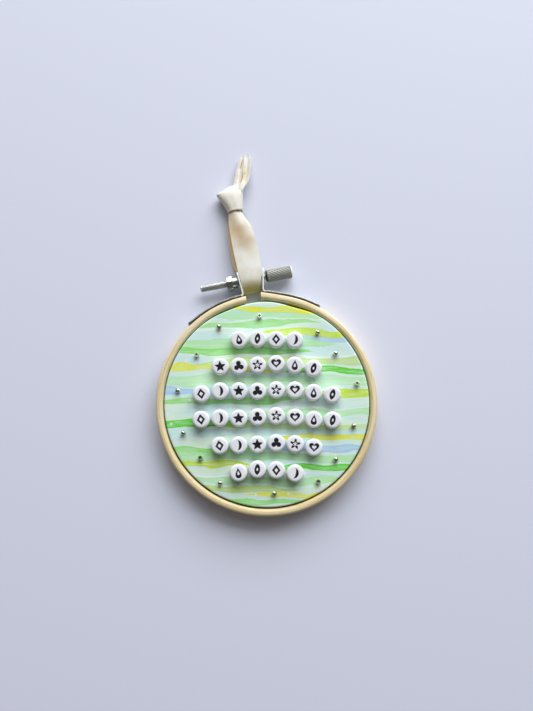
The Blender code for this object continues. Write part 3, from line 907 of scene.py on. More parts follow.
def cut(piece, cutter, operation="DIFFERENCE"):
    """An exact Boolean with another object, which is used up."""
    apply_modifier(piece, "BOOLEAN", operation=operation, solver="EXACT", object=cutter,
                   material_mode="TRANSFER")
    bpy.data.objects.remove(cutter, do_unlink=True)


# %% The straps
STRAP_HIGH = 7.6 * MM
STRAP_EDGE = 0.03 * MM
EAR_HOLE_RADIUS = 1.84 * MM
EAR_REACH = 9.5 * MM
EAR_DRILL = 7.0 * MM
ROUND_SIDES = 48

for strap, route in zip(STRAPS, routes):
    strip = drawn_line(route)
    edit(strip)
    extrude((0.0, 0.0, STRAP_HIGH - STRAP_LOW))
    ends = (route[0].xy, route[-1].xy)
    select_points(lambda point: min((point.xy - end).length for end in ends) < MM / 100.0)
    bpy.ops.mesh.bevel(offset=STRAP_CORNER, segments=8, affect="VERTICES")
    leave_edit()
    apply_modifier(strip, "SOLIDIFY", thickness=STRAP_THICK, offset=0.0, use_even_offset=True)
    cut(strip, rod_along_screw(EAR_HOLE_RADIUS, -EAR_DRILL, EAR_DRILL, ROUND_SIDES))
    apply_modifier(strip, "BEVEL", width=STRAP_EDGE, segments=2, limit_method="ANGLE",
                   angle_limit=math.radians(50.0))
    edit(strip)
    close_up()
    give(strip, steel, sheared_steel)
    for face in strip.data.polygons:
        on_ear = (face.center - SCREW_CENTRE).length < EAR_REACH
        face.material_index = 1 if on_ear and abs(face.normal.z) > 0.6 else 0
    settle(strip, "steel_" + strap.name)
    stand_for(strip, strap.name, steel)

# %% [markdown]
# ## The thumb screw
#
# A real thread is a ridge that winds along the rod. The Screw modifier makes just that: one tooth,
# drawn as a line from root to root, is turned round the axis and moved on by one pitch a turn. The
# rough ends are then trimmed by an intersection with a plain rod whose end is chamfered.

# %% The threaded rod
ROD_RADIUS = 1.55 * MM
THREAD_RISE = 0.5 * MM
THREAD_DEPTH = 0.2 * MM
SCREW_TIP = -21.6 * MM
SHOULDER_START = 6.1 * MM
TRIM_CHAMFER = 0.4 * MM
OVERLAP = 0.2 * MM
TRIM_MARGIN = 0.01 * MM
THREAD_STEPS = 20
TOOTH = ((0.0, 0.0), (0.06, 0.0), (0.3, 1.0), (0.7, 1.0), (0.94, 0.0), (1.0, 0.0))


def lay_on_screw(piece):
    """Carry a piece that was made along X at the origin to the screw's axis."""
    pick_up(piece)
    piece.location = SCREW_CENTRE
    piece.rotation_euler = (0.0, 0.0, SCREW_TURN)
    apply_place()
    put_down()


thread_start = SCREW_TIP - THREAD_RISE
tooth = []
for share, height in TOOTH:
    from_axis = ROD_RADIUS - THREAD_DEPTH * (1.0 - height)
    tooth.append(Vector((thread_start + share * THREAD_RISE, 0.0, from_axis)))
thumb_screw = drawn_line(tooth)
turns = math.ceil((SHOULDER_START + THREAD_RISE - thread_start) / THREAD_RISE)
apply_modifier(thumb_screw, "SCREW", axis="X", angle=FULL_TURN, screw_offset=THREAD_RISE,
               iterations=turns, steps=THREAD_STEPS, render_steps=THREAD_STEPS,
               use_merge_vertices=True, merge_threshold=MM / 100.0)
edit(thumb_screw)
bpy.ops.mesh.remove_doubles(threshold=0.005 * MM)
bpy.ops.mesh.fill_holes(sides=0)
bpy.ops.mesh.normals_make_consistent(inside=False)
lay_on_screw(thumb_screw)
trim = rod_along_screw(ROD_RADIUS + TRIM_MARGIN, SCREW_TIP, SHOULDER_START + OVERLAP, ROUND_SIDES)
tip_place = by_screw(SCREW_TIP, 0.0, SCREW_CENTRE.z)
edit(trim)
select_points(lambda point: (point - tip_place).dot(SCREW_AXIS) < MM / 100.0)
bpy.ops.mesh.bevel(offset=TRIM_CHAMFER, segments=1, affect="EDGES")
leave_edit()
cut(thumb_screw, trim, "INTERSECT")
print("thread with", turns, "turns,", len(thumb_screw.data.polygons), "faces")

# %% [markdown]
# The head is knurled: a tool has pressed two sets of slanting grooves into it, which leave rows of
# small blunt diamonds. Poking every face of a cylinder gives slanting edges, and once the old
# straight edges are dissolved, the faces are diamonds. An inset of each face on its own, moved
# outwards, leaves the groove between it and its neighbours.

# %% Two more moves in edit mode
def select_edges(test):
    """In edit mode, select the edges whose two ends pass the test together."""
    bpy.ops.mesh.select_mode(type="EDGE")
    bpy.ops.mesh.select_all(action="DESELECT")
    bm = bmesh.from_edit_mesh(bpy.context.edit_object.data)
    for edge in bm.edges:
        if test(edge.verts[0].co, edge.verts[1].co):
            edge.select_set(True)
    bmesh.update_edit_mesh(bpy.context.edit_object.data)


def stretch(scale, centre=ORIGIN):
    """In edit mode, scale what is selected about a centre."""
    bpy.ops.transform.resize(value=scale, center_override=centre)


# %% The knurled head
HEAD_START = 6.5 * MM
HEAD_END = 17.4 * MM
HEAD_RADIUS = 2.8 * MM
KNURL_COLUMNS = 14
KNURL_ROWS = 7
KNURL_HEIGHT = 0.32 * MM
KNURL_SLOPE = 0.17 * MM
HEAD_CHAMFER = 0.45 * MM
BACK_CHAMFER = 0.15 * MM

knurl_start = HEAD_START + BACK_CHAMFER
knurl_end = HEAD_END - HEAD_CHAMFER
knurl_base = HEAD_RADIUS - KNURL_HEIGHT
head = cylinder(KNURL_COLUMNS, knurl_base, knurl_end - knurl_start,
                ((knurl_start + knurl_end) / 2.0, 0.0, 0.0), ALONG_X, end_fill_type="NOTHING")
edit(head)
select_edges(lambda one, other: abs(one.x - other.x) > MM)
bpy.ops.mesh.subdivide(number_cuts=KNURL_ROWS - 1)
bpy.ops.mesh.select_all(action="SELECT")
bpy.ops.mesh.poke()
row_length = (knurl_end - knurl_start) / KNURL_ROWS
select_points(lambda point: point.yz.length < knurl_base * 0.997)
push = 1.0 / math.cos(math.pi / KNURL_COLUMNS)
stretch((1.0, push, push))
inner_edges = (knurl_start + row_length / 4.0, knurl_end - row_length / 4.0)


def old_straight_edge(one, other):
    straight = abs(abs(one.x - other.x) - row_length / 2.0) > row_length / 4.0
    return straight and inner_edges[0] < (one.x + other.x) / 2.0 < inner_edges[1]


select_edges(old_straight_edge)
bpy.ops.mesh.dissolve_edges(use_verts=False)
bpy.ops.mesh.select_mode(type="FACE")
bpy.ops.mesh.select_all(action="SELECT")
bpy.ops.mesh.normals_make_consistent(inside=False)
diamond_mesh = bmesh.from_edit_mesh(head.data)
diamond_mesh.faces.ensure_lookup_table()
one_diamond = diamond_mesh.faces[0]
if one_diamond.normal.yz.dot(one_diamond.calc_center_median().yz) < 0.0:
    bpy.ops.mesh.flip_normals()
bpy.ops.mesh.inset(use_individual=True, thickness=KNURL_SLOPE, depth=KNURL_HEIGHT)
inset_points = bmesh.from_edit_mesh(head.data).verts
head_reach = max(vertex.co.yz.length for vertex in inset_points)
print("knurled head reaches", round(head_reach / MM, 2), "mm from the axis")

# %% The head's two ends, and the shoulder
HeadEnd = namedtuple("HeadEnd", "x chamfer narrowed")
FACE_DISH = 0.3
SHOULDER_RADIUS = 2.0 * MM

for end in (HeadEnd(knurl_start, -BACK_CHAMFER, 0.96), HeadEnd(knurl_end, HEAD_CHAMFER, 0.86)):
    select_points(lambda point: abs(point.x - end.x) < MM / 100.0)
    for out, shrink in ((end.chamfer, end.narrowed), (0.0, FACE_DISH)):
        extrude((out, 0.0, 0.0))
        stretch((1.0, shrink, shrink), (end.x, 0.0, 0.0))
    bpy.ops.mesh.edge_face_add()
close_up()
lay_on_screw(head)
shoulder = rod_along_screw(SHOULDER_RADIUS, SHOULDER_START, HEAD_START + OVERLAP, ROUND_SIDES)
print("head of", len(head.data.polygons), "faces, shoulder of", len(shoulder.data.polygons))

# %% The whole screw
def join(*pieces):
    pick_up(*pieces)
    bpy.ops.object.join()
    return pieces[0]


give(thumb_screw, threaded_steel)
give(head, knurled_steel)
give(shoulder, knurled_steel)
thumb_screw = join(thumb_screw, head, shoulder)
settle(thumb_screw, "steel_thumb_screw", smooth=24.0)
stand_for(thumb_screw, "thumb_screw", steel, body="thumb_screw")

# %% [markdown]
# ## The lock nut
#
# A nut is a hexagon whose corners were turned off on a lathe, which leaves the curved edges that
# every nut has. That is also how it is made here: a length of six-sided bar, cut down by a round
# blank with bevelled ends, joined to its round collar and then bored.

# %% The nut's hexagon
NUT_START = -10.35 * MM
NUT_END = -7.9 * MM
NUT_ACROSS_FLATS = 6.0 * MM
NUT_CORNER = NUT_ACROSS_FLATS / math.sqrt(3.0)
NUT_TURNED = 0.34 * MM
BLANK_MARGIN = 0.02 * MM
BLANK_SIDES = 72

nut = cylinder(6, NUT_CORNER, NUT_END - NUT_START + MM,
               ((NUT_START + NUT_END) / 2.0, 0.0, 0.0), ALONG_X)
edit(nut)
bpy.ops.transform.rotate(value=math.radians(30.0), orient_axis="X", center_override=ORIGIN)
leave_edit()
nut_top = max(vertex.co.z for vertex in nut.data.vertices)
print("nut's corner reaches", round(nut_top / MM, 2), "mm up")
lay_on_screw(nut)
blank = rod_along_screw(NUT_CORNER + BLANK_MARGIN, NUT_START, NUT_END, BLANK_SIDES)
apply_modifier(blank, "BEVEL", width=NUT_TURNED, segments=1, limit_method="ANGLE",
               angle_limit=math.radians(50.0))
cut(nut, blank, "INTERSECT")

# %% Its collar, bore and edges
COLLAR_RADIUS = 2.45 * MM
COLLAR_END = -6.0 * MM
NUT_BORE_RADIUS = 1.62 * MM
NUT_EDGE = 0.06 * MM
COLLAR_OVERLAP = 0.4 * MM
COLLAR_SIDES = 60

collar = rod_along_screw(COLLAR_RADIUS, NUT_END - COLLAR_OVERLAP, COLLAR_END, COLLAR_SIDES)
cut(nut, collar, "UNION")
cut(nut, rod_along_screw(NUT_BORE_RADIUS, NUT_START - MM, COLLAR_END + MM, ROUND_SIDES))
apply_modifier(nut, "BEVEL", width=NUT_EDGE, segments=2, limit_method="ANGLE",
               angle_limit=math.radians(25.0))
edit(nut)
bpy.ops.mesh.fill_holes(sides=0)
close_up()
settle(nut, "steel_lock_nut")
stand_for(nut, "lock_nut", steel)

# %% [markdown]
# ## The coin beads
#
# The beads are flat round acrylic beads of 7 mm with a thread hole from side to side and a small
# pressed mark, filled with black paint, on the face. Each mark is a plain motif here. One bead is
# shaped for each motif: a cylinder with rounded rims, drilled, with the motif pressed in by a
# cutter that carries the black paint as its own material. Then it is copied to its places, each
# turned a little as hand sewing leaves it.

# %% The bead's two finishes
ACRYLIC_WHITES = (srgb(240, 241, 248), srgb(246, 246, 248))
PAINT_BLACKS = (srgb(14, 14, 20), srgb(34, 34, 42))


def white_acrylic():
    material, graph, shader = new_finish("white_acrylic", 0.24)
    cloud = graph.noise(graph.place_in_mm(HOOP_CENTRE), 0.35, 3.0)
    white = graph.blend(graph.smooth(cloud, 0.35, 0.65), *ACRYLIC_WHITES)
    graph.feed(shader.inputs["Base Color"], white)
    shader.inputs["Coat Weight"].default_value = 0.25
    fine = graph.noise(graph.place_in_mm(HOOP_CENTRE), 5.0, 2.0)
    relief(graph, shader, fine, 0.01 * MM, 0.5)
    return material


def black_paint():
    material, graph, shader = new_finish("black_paint", 0.35)
    wear = graph.noise(graph.place_in_mm(HOOP_CENTRE), 4.0, 3.0, 0.6)
    graph.feed(shader.inputs["Base Color"], graph.blend(wear, *PAINT_BLACKS))
    relief(graph, shader, wear, 0.02 * MM, 0.5)
    return material


acrylic = white_acrylic()
paint = black_paint()
print("bead finishes:", acrylic.name, paint.name)

# %% [markdown]
# A motif is one closed outline, cut from the face as if with a small punch. It could be drawn by
# hand as a curve. Here each is a short formula that gives a point for every angle t, with its top
# at t = 0, so one loop draws them all alike. The thin tips of the heart and the drop end a little
# early: where two sides all but touch, a Boolean would leave slivers.

# %% The motifs
BLUNT_TIP = 0.25
STAR_WAIST = 0.46
DIAMOND_WIDTH = 0.78


def polar(reach, t):
    return reach * math.sin(t), reach * math.cos(t)


def heart(t):
    half, angle = divmod(t, math.pi)
    t = half * math.pi + min(max(angle, BLUNT_TIP), math.pi - BLUNT_TIP)
    x = 16.0 * math.sin(t) ** 3
    y = 13.0 * math.cos(t) - 5.0 * math.cos(2 * t) - 2.0 * math.cos(3 * t) - math.cos(4 * t)
    return x / 16.0, (y + 2.0) / 16.0


def star(t):
    fifth = 2.0 * math.pi / 5.0
    share = abs(((t / fifth) % 1.0) - 0.5) * 2.0
    reach = STAR_WAIST / (STAR_WAIST + (1.0 - STAR_WAIST) * (1.0 - share))
    return polar(1.08 * reach, t)


def flower(t):
    return polar(0.72 + 0.3 * math.cos(5.0 * t), t)


def drop(t):
    t = min(max(t, BLUNT_TIP), 2.0 * math.pi - BLUNT_TIP)
    width = math.sin(t) * math.sin(t / 2.0) ** 1.6
    return 0.82 * width, math.cos(t)


def diamond(t):
    return polar(1.0 / (abs(math.sin(t)) / DIAMOND_WIDTH + abs(math.cos(t))), t)


def clover(t):
    return polar(0.34 + 0.7 * abs(math.cos(1.5 * t)) ** 0.8, t)


def leaf(t):
    return 0.52 * math.sin(t) * abs(math.sin(t)) ** 0.4 + 0.1 * math.cos(t), math.cos(t)


def moon(t):
    if t < math.pi:
        return 0.9 * math.sin(t) - 0.25, math.cos(t)
    inner = 2.0 * math.pi - t
    return 0.34 * math.sin(inner) - 0.25, math.cos(inner)


Motif = namedtuple("Motif", "outline size hole")
MOTIFS = (
    Motif(heart, 2.0 * MM, 0.46),
    Motif(star, 2.15 * MM, 0.0),
    Motif(leaf, 2.15 * MM, 0.3),
    Motif(flower, 2.05 * MM, 0.42),
    Motif(moon, 2.05 * MM, 0.0),
    Motif(drop, 2.1 * MM, 0.4),
    Motif(clover, 2.0 * MM, 0.0),
    Motif(diamond, 2.15 * MM, 0.44),
)


print("motifs:", [motif.outline.__name__ for motif in MOTIFS])

# %% A cutter for a motif
MOTIF_POINTS = 96


def motif_cutter(motif, low, high):
    """A prism of the motif's outline, solid or with a hole of the same shape."""
    put_down()
    bpy.ops.mesh.primitive_circle_add(vertices=MOTIF_POINTS, radius=MM)
    cutter = bpy.context.object
    for i, vertex in enumerate(cutter.data.vertices):
        x, y = motif.outline(2.0 * math.pi * i / MOTIF_POINTS)
        vertex.co = (x * motif.size, y * motif.size, low)
    edit(cutter)
    bpy.ops.mesh.remove_doubles(threshold=MM / 1000.0)
    if motif.hole:
        extrude((0.0, 0.0, 0.0))
        stretch((motif.hole, motif.hole, 1.0), (0.0, 0.0, low))
        bpy.ops.mesh.select_all(action="SELECT")
    else:
        bpy.ops.mesh.edge_face_add()
    extrude((0.0, 0.0, high - low))
    close_up()
    cutter.data.materials.append(paint)
    return cutter


# %% One bead for each motif
BEAD_RADIUS = 3.5 * MM
BEAD_LIFT = 0.05 * MM
BEAD_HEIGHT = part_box("coin_bead_01")[1].z - CLOTH_TOP - BEAD_LIFT
BEAD_RIM = 1.15 * MM
BEAD_HOLE_RADIUS = 0.7 * MM
PRESSED = 0.14 * MM
BEAD_SIDES = 64
HOLE_SIDES = 24


def shaped_bead(motif):
    """A bead with its face up, the middle of its back at the origin."""
    middle = (0.0, 0.0, BEAD_HEIGHT / 2.0)
    bead = cylinder(BEAD_SIDES, BEAD_RADIUS, BEAD_HEIGHT, middle)
    edit(bead)
    for z in (0.0, BEAD_HEIGHT):
        select_points(lambda point: abs(point.z - z) < MM / 100.0)
        bpy.ops.mesh.bevel(offset=BEAD_RIM, segments=6, affect="EDGES", profile=0.55)
    leave_edit()
    bead.data.materials.append(acrylic)
    drill = cylinder(HOLE_SIDES, BEAD_HOLE_RADIUS, BEAD_RADIUS * 3.0, middle, ALONG_X)
    drill.data.materials.append(acrylic)
    cut(bead, drill)
    cut(bead, motif_cutter(motif, BEAD_HEIGHT - PRESSED, BEAD_HEIGHT + MM))
    return bead


shaped_beads = [shaped_bead(motif) for motif in MOTIFS]
print([len(bead.data.polygons) for bead in shaped_beads], "faces in the beads")

# %% The beads in their rows
BEAD_PITCH = 7.5 * MM
BEAD_WOBBLE = 4.0
WOBBLE_STEP = 2.4
BeadRow = namedtuple("BeadRow", "count arch")
BEAD_ROWS = (
    BeadRow(4, 0.9 * MM),
    BeadRow(6, 1.2 * MM),
    BeadRow(8, 1.4 * MM),
    BeadRow(8, 1.4 * MM),
    BeadRow(6, 1.2 * MM),
    BeadRow(4, 0.9 * MM),
)
MOTIF_STEP = 5


def place_copy(master, name, place, rotation):
    copy = master.copy()
    copy.data = master.data.copy()
    scene.collection.objects.link(copy)
    copy.location = place
    copy.rotation_euler = rotation
    return settle(copy, name)


number = 0
for row in BEAD_ROWS:
    half_row = BEAD_PITCH * (row.count - 1) / 2.0
    for i in range(row.count):
        number += 1
        node = f"coin_bead_{number:02d}"
        x = i * BEAD_PITCH - half_row
        slope = math.atan(-2.0 * row.arch * x / half_row ** 2)
        turn = slope + math.radians(BEAD_WOBBLE * math.sin(number * WOBBLE_STEP))
        place = Vector((bead_places[node].x, bead_places[node].y, CLOTH_TOP + BEAD_LIFT))
        master = shaped_beads[(number * MOTIF_STEP) % len(shaped_beads)]
        bead = place_copy(master, "white_" + node, place, (0.0, 0.0, turn))
        stand_for(bead, node, acrylic)
for bead in shaped_beads:
    bpy.data.objects.remove(bead, do_unlink=True)

# %% [markdown]
# ## The seed beads
#
# The small silver beads are cut from glass tube and tumbled until round, so a seed bead is a fat
# ring, a little longer than thick, with its ends slightly flat. A torus is stretched along its
# axis, and its ends are pressed flat. Some lie on the cloth with the hole up, leaning a
# little on their thread, and some on edge.

# %% Silver
SILVER_COLOURS = (srgb(204, 210, 192), srgb(160, 168, 146))


def bright_silver():
    material, graph, shader = new_finish("bright_silver", 0.26, metallic=1.0)
    tarnish = graph.noise(graph.place_in_mm(CLOTH_CENTRE), 1.5, 3.0)
    colour = graph.blend(graph.smooth(tarnish, 0.4, 0.7), *SILVER_COLOURS)
    graph.feed(shader.inputs["Base Color"], colour)
    relief(graph, shader, tarnish, 0.03 * MM, 0.4)
    return material


silver = bright_silver()
print("seed bead finish:", silver.name)

# %% One seed bead, and its copies
SEED_RADIUS = 1.0 * MM
SEED_HOLE_RADIUS = 0.38 * MM
SEED_HEIGHT = 1.5 * MM
SEED_FLAT_FROM = SEED_HEIGHT * 0.44
SEED_FLATTEN = 0.2
SEED_LEAN = -14.0
SEED_LEAN_LIFT = 0.15 * MM
SEED_TURNS = (20.0, 0.0, 70.0, 15.0, 40.0, 100.0, 10.0, 55.0, 130.0, 30.0, 15.0, 80.0, 35.0, 20.0)

put_down()
wall = (SEED_RADIUS - SEED_HOLE_RADIUS) / 2.0
bpy.ops.mesh.primitive_torus_add(major_radius=SEED_RADIUS - wall, minor_radius=wall,
                                 major_segments=32, minor_segments=16)
seed = bpy.context.object
seed.scale.z = SEED_HEIGHT / (2.0 * wall)
apply_place()
edit(seed)
for side in (-1.0, 1.0):
    select_points(lambda point: point.z * side > SEED_FLAT_FROM)
    stretch((1.0, 1.0, SEED_FLATTEN), (0.0, 0.0, side * SEED_HEIGHT / 2.0))
close_up()
for number, turn in enumerate(SEED_TURNS, start=1):
    node = f"seed_bead_{number:02d}"
    low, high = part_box(node)
    on_edge = high.z - low.z > SEED_RADIUS * 1.8
    half = SEED_RADIUS if on_edge else SEED_HEIGHT / 2.0 + SEED_LEAN_LIFT
    place = Vector((bead_places[node].x, bead_places[node].y, CLOTH_TOP - STITCH_DENT + half))
    tip = math.radians(90.0 if on_edge else SEED_LEAN)
    bead = place_copy(seed, "silver_" + node, place, (tip, 0.0, math.radians(turn)))
    stand_for(bead, node, silver)
bpy.data.objects.remove(seed, do_unlink=True)

# %% [markdown]
# ## The ribbon's cotton
#
# A soft cream tape of fine cotton. Its weave is far too fine to model, so it is a bump that follows
# the tape's own UV map, which is unrolled in millimetres. In its folds, in the creases of the knot
# and the tails and at the turn under the screw the cream is tinted with painted shade, warm where
# light would pass through the cloth twice, and olive at the turn, painted shade with a painted
# reflection of the green cloth. Each point of the mesh keeps that tint as a colour attribute, which
# is laid over the cream.

# %% The ribbon's finish
RIBBON_WEAVE = 0.36
CREAM_COLOURS = (srgb(238, 232, 216), srgb(245, 242, 234))


def cream_cotton():
    material, graph, shader = new_finish("cream_cotton", 0.78)
    shader.inputs["Sheen Weight"].default_value = 0.3
    unrolled = graph.node("ShaderNodeUVMap", uv_map="tape").outputs[0]
    u, v, _ = graph.apart(unrolled)
    weave = graph.weave(u, v, RIBBON_WEAVE, RIBBON_WEAVE * 1.2)
    soft = graph.noise(graph.place_in_mm(SCREW_CENTRE), 0.25, 3.0)
    colour = graph.blend(graph.smooth(soft, 0.35, 0.65), *CREAM_COLOURS)
    # The painted shade of folds and creases, kept at each point of the mesh.
    fold_shade = graph.node("ShaderNodeAttribute", attribute_name="fold_shade").outputs["Color"]
    colour = graph.blend(1.0, colour, fold_shade, "MULTIPLY")
    colour = graph.shaded(colour, graph.math("MULTIPLY_ADD", weave, 0.06, 0.94))
    graph.feed(shader.inputs["Base Color"], colour)
    relief(graph, shader, weave, 0.04 * MM, 0.7)
    return material


cream = cream_cotton()
print("ribbon finish:", cream.name)

# %% [markdown]
# ## The ribbon
#
# One tape goes round the screw, and both its legs run up into an overhand knot, out of which its
# two ends stick. Cloth has no handy primitive: its form is where it has been laid. So the tape is a
# sheet made by code from rows across it, each with its place, its two edges and how much its middle
# bulges. A smooth curve through the rows gives the sheet, and creases are laid on it one by one.

# %% Rows across the tape
TapeRow = namedtuple("TapeRow", "v z left right camber")
LOOP_ROWS = (
    TapeRow(33.0, 4.2, -2.9, 0.4, 0.9),
    TapeRow(29.6, 4.5, -3.8, 1.0, 1.1),
    TapeRow(26.4, 4.9, -4.5, 2.2, 1.0),
    TapeRow(22.0, 5.7, -4.9, 4.1, 0.7),
    TapeRow(17.0, 6.4, -5.0, 4.8, 0.4),
    TapeRow(11.0, 6.7, -5.0, 5.2, 0.3),
    TapeRow(6.0, 6.95, -4.8, 5.0, 0.3),
    TapeRow(2.8, 7.1, -4.7, 4.7, 0.3),
    TapeRow(-1.2, 6.9, -4.4, 4.1, 0.3),
    TapeRow(-3.8, 6.0, -4.3, 3.5, 0.1),
    TapeRow(-5.2, 4.7, -4.3, 3.0, 0.1),
    TapeRow(-5.5, 3.3, -4.2, 2.9, 0.1),
    TapeRow(-4.6, 1.9, -4.1, 3.3, 0.1),
    TapeRow(-2.0, 1.1, -4.2, 3.9, 0.2),
    TapeRow(1.4, 0.9, -4.5, 4.3, 0.2),
    TapeRow(4.2, 0.9, -5.0, 4.2, 0.2),
    TapeRow(6.2, 0.9, -6.2, 3.9, 0.2),
    TapeRow(9.5, 0.9, -6.6, 3.5, 0.3),
    TapeRow(14.0, 0.9, -6.5, 3.2, 0.3),
    TapeRow(20.0, 1.2, -6.1, 3.0, 0.5),
    TapeRow(25.0, 1.7, -5.4, 2.2, 0.7),
    TapeRow(29.6, 2.2, -3.8, 0.9, 0.8),
    TapeRow(33.0, 2.3, -2.9, 0.4, 0.7),
)
LEFT_TAIL_ROWS = (
    TapeRow(38.5, 3.3, -1.0, 3.0, 0.6),
    TapeRow(41.0, 3.4, 0.1, 3.6, 0.8),
    TapeRow(44.4, 3.1, 1.3, 4.7, 1.0),
    TapeRow(48.0, 2.7, 2.7, 5.7, 1.1),
    TapeRow(51.2, 2.4, 4.2, 6.9, 1.0),
    TapeRow(53.2, 1.9, 5.2, 7.5, 0.6),
    TapeRow(54.0, 1.7, 5.6, 7.4, 0.4),
    TapeRow(54.3, 1.6, 6.0, 7.1, 0.3),
)
RIGHT_TAIL_ROWS = (
    TapeRow(36.0, 4.0, -0.5, 2.4, 0.2),
    TapeRow(38.4, 5.0, 1.3, 4.1, 0.3),
    TapeRow(40.8, 4.8, 3.0, 6.1, 0.6),
    TapeRow(42.8, 4.3, 3.8, 7.1, 1.0),
    TapeRow(44.4, 3.8, 4.5, 7.9, 1.0),
    TapeRow(48.0, 3.1, 5.6, 8.8, 0.9),
    TapeRow(51.2, 2.6, 6.5, 9.4, 0.8),
    TapeRow(53.1, 2.0, 7.2, 9.6, 0.5),
    TapeRow(54.0, 1.8, 7.6, 9.5, 0.3),
    TapeRow(54.4, 1.7, 8.1, 9.2, 0.2),
)


all_rows = (LOOP_ROWS, LEFT_TAIL_ROWS, RIGHT_TAIL_ROWS)
print("rows in the loop and the tails:", [len(rows) for rows in all_rows])

# %% A smooth curve through the rows
def between(rows, steps):
    """Rows read from a smooth curve through the table's own rows."""
    padded = [rows[0], *rows, rows[-1]]
    smooth = []
    for before, here, there, after in zip(padded, padded[1:], padded[2:], padded[3:]):
        for step in range(steps):
            t = step / steps
            weights = (
                -0.5 * t + t ** 2 - 0.5 * t ** 3,
                1.0 - 2.5 * t ** 2 + 1.5 * t ** 3,
                0.5 * t + 2.0 * t ** 2 - 1.5 * t ** 3,
                -0.5 * t ** 2 + 0.5 * t ** 3,
            )
            values = zip(before, here, there, after)
            curved = (sum(w * x for w, x in zip(weights, four)) for four in values)
            smooth.append(type(here)(*curved))
    smooth.append(rows[-1])
    return smooth


# %% Creases and the painted shade in them
# Colours of painted shade, laid over the cream in the creases.
TONES = {
    "tan": Vector(srgb(236, 196, 136)[:3]),
    "gold": Vector(srgb(222, 178, 102)[:3]),
    "brown": Vector(srgb(194, 142, 78)[:3]),
    "olive": Vector(srgb(202, 190, 112)[:3]),
    "peach": Vector(srgb(206, 178, 138)[:3]),
    "straw": Vector(srgb(255, 236, 196)[:3]),
    "rose": Vector(srgb(228, 204, 166)[:3]),
}
UNTINTED = Vector((1.0, 1.0, 1.0))
Crease = namedtuple("Crease", "u v to_u to_v width depth tone share")
LOOP_CREASES = (
    Crease(-3.6, 27.0, -2.6, 21.5, 2.7, 0.22, "peach", 0.75),
    Crease(-1.8, 20.0, 0.2, 16.0, 4.2, 0.08, "peach", 0.8),
    Crease(0.2, 30.0, 1.2, 24.0, 0.8, 0.25, "tan", 0.1),
    Crease(-3.6, 29.2, -0.6, 29.3, 0.6, 0.1, "gold", 0.6),
    Crease(-0.6, 29.4, 1.4, 29.5, 0.35, 0.1, "brown", 0.5),
    Crease(-3.4, 28.7, -3.2, 28.2, 0.5, 0.1, "olive", 0.3),
    # Painted shade and a painted reflection of the green cloth at the turn under the screw.
    Crease(-4.0, -4.3, 3.5, -4.9, 3.2, 0.0, "olive", 0.95),
)
# The tails' grooves, each with painted shade.
LEFT_TAIL_CREASES = (
    Crease(6.2, 52.2, 4.7, 49.0, 0.5, 0.45, "gold", 0.85),
    Crease(4.9, 49.3, 4.7, 49.0, 0.25, 0.2, "brown", 0.6),
    Crease(1.0, 42.0, 2.6, 46.0, 0.5, 0.2, "rose", 0.4),
)
RIGHT_TAIL_CREASES = (
    Crease(5.4, 45.9, 3.4, 41.6, 0.42, 0.4, "gold", 0.8),
    Crease(4.5, 44.3, 3.6, 42.2, 0.3, 0.2, "brown", 0.5),
    Crease(6.6, 48.5, 5.4, 43.0, 1.1, 0.1, "rose", 0.4),
)


all_creases = (LOOP_CREASES, LEFT_TAIL_CREASES, RIGHT_TAIL_CREASES)
print("creases in the loop and the tails:", [len(creases) for creases in all_creases])

# %% What a crease does at a place
def how_near(crease, u, v):
    """1 on a crease, and falling to 0 with the distance from it."""
    start = Vector((crease.u, crease.v))
    along = Vector((crease.to_u, crease.to_v)) - start
    share = (Vector((u, v)) - start).dot(along) / along.length_squared
    nearest = start + along * min(max(share, 0.0), 1.0)
    return math.exp(-((Vector((u, v)) - nearest).length / crease.width) ** 2)


def crease_depth(creases, u, v):
    """How deep the creases lie together at a place."""
    return sum(crease.depth * how_near(crease, u, v) for crease in creases)


def crease_shade(creases, u, v, tone=UNTINTED):
    """The painted shade of the cloth at a place, where the creases lay theirs over one another."""
    for crease in creases:
        tone = tone.lerp(TONES[crease.tone], crease.share * how_near(crease, u, v))
    return tone


# %% A mesh over rows of points
def skin(name, rows_of_points, rows_of_uv, rows_of_tones, closed=False):
    """A mesh over rows of points, with its UV map and the painted shade of each point."""
    bm = bmesh.new()
    uv_layer = bm.loops.layers.uv.new("tape")
    tone_layer = bm.verts.layers.float_color.new("fold_shade")
    grid = []
    for points, tones in zip(rows_of_points, rows_of_tones):
        made = [bm.verts.new(point) for point in points]
        for vertex, tone in zip(made, tones):
            vertex[tone_layer] = (*tone, 1.0)
        grid.append(made)
    count = len(grid[0])
    for row in range(len(grid) - 1):
        for i in range(count if closed else count - 1):
            j = (i + 1) % count
            face = bm.faces.new((grid[row][i], grid[row][j], grid[row + 1][j], grid[row + 1][i]))
            left, low = rows_of_uv[row][i]
            right = left + rows_of_uv[row][1][0] - rows_of_uv[row][0][0]
            high = rows_of_uv[row + 1][0][1]
            corners = ((left, low), (right, low), (right, high), (left, high))
            for loop, corner in zip(face.loops, corners):
                loop[uv_layer].uv = corner
    mesh = bpy.data.meshes.new(name)
    bm.to_mesh(mesh)
    bm.free()
    piece = bpy.data.objects.new(name, mesh)
    scene.collection.objects.link(piece)
    return piece


# %% A strip of ribbon on rows
RIBBON_THICK = 0.5 * MM
TAPE_STRIPS = 24
TAPE_STEPS = 8
TAPE_WIDTH = 10.0
# Painted shade on the leg behind, which lies under the front one.
BACK_LEG_SHADE = TONES["straw"]


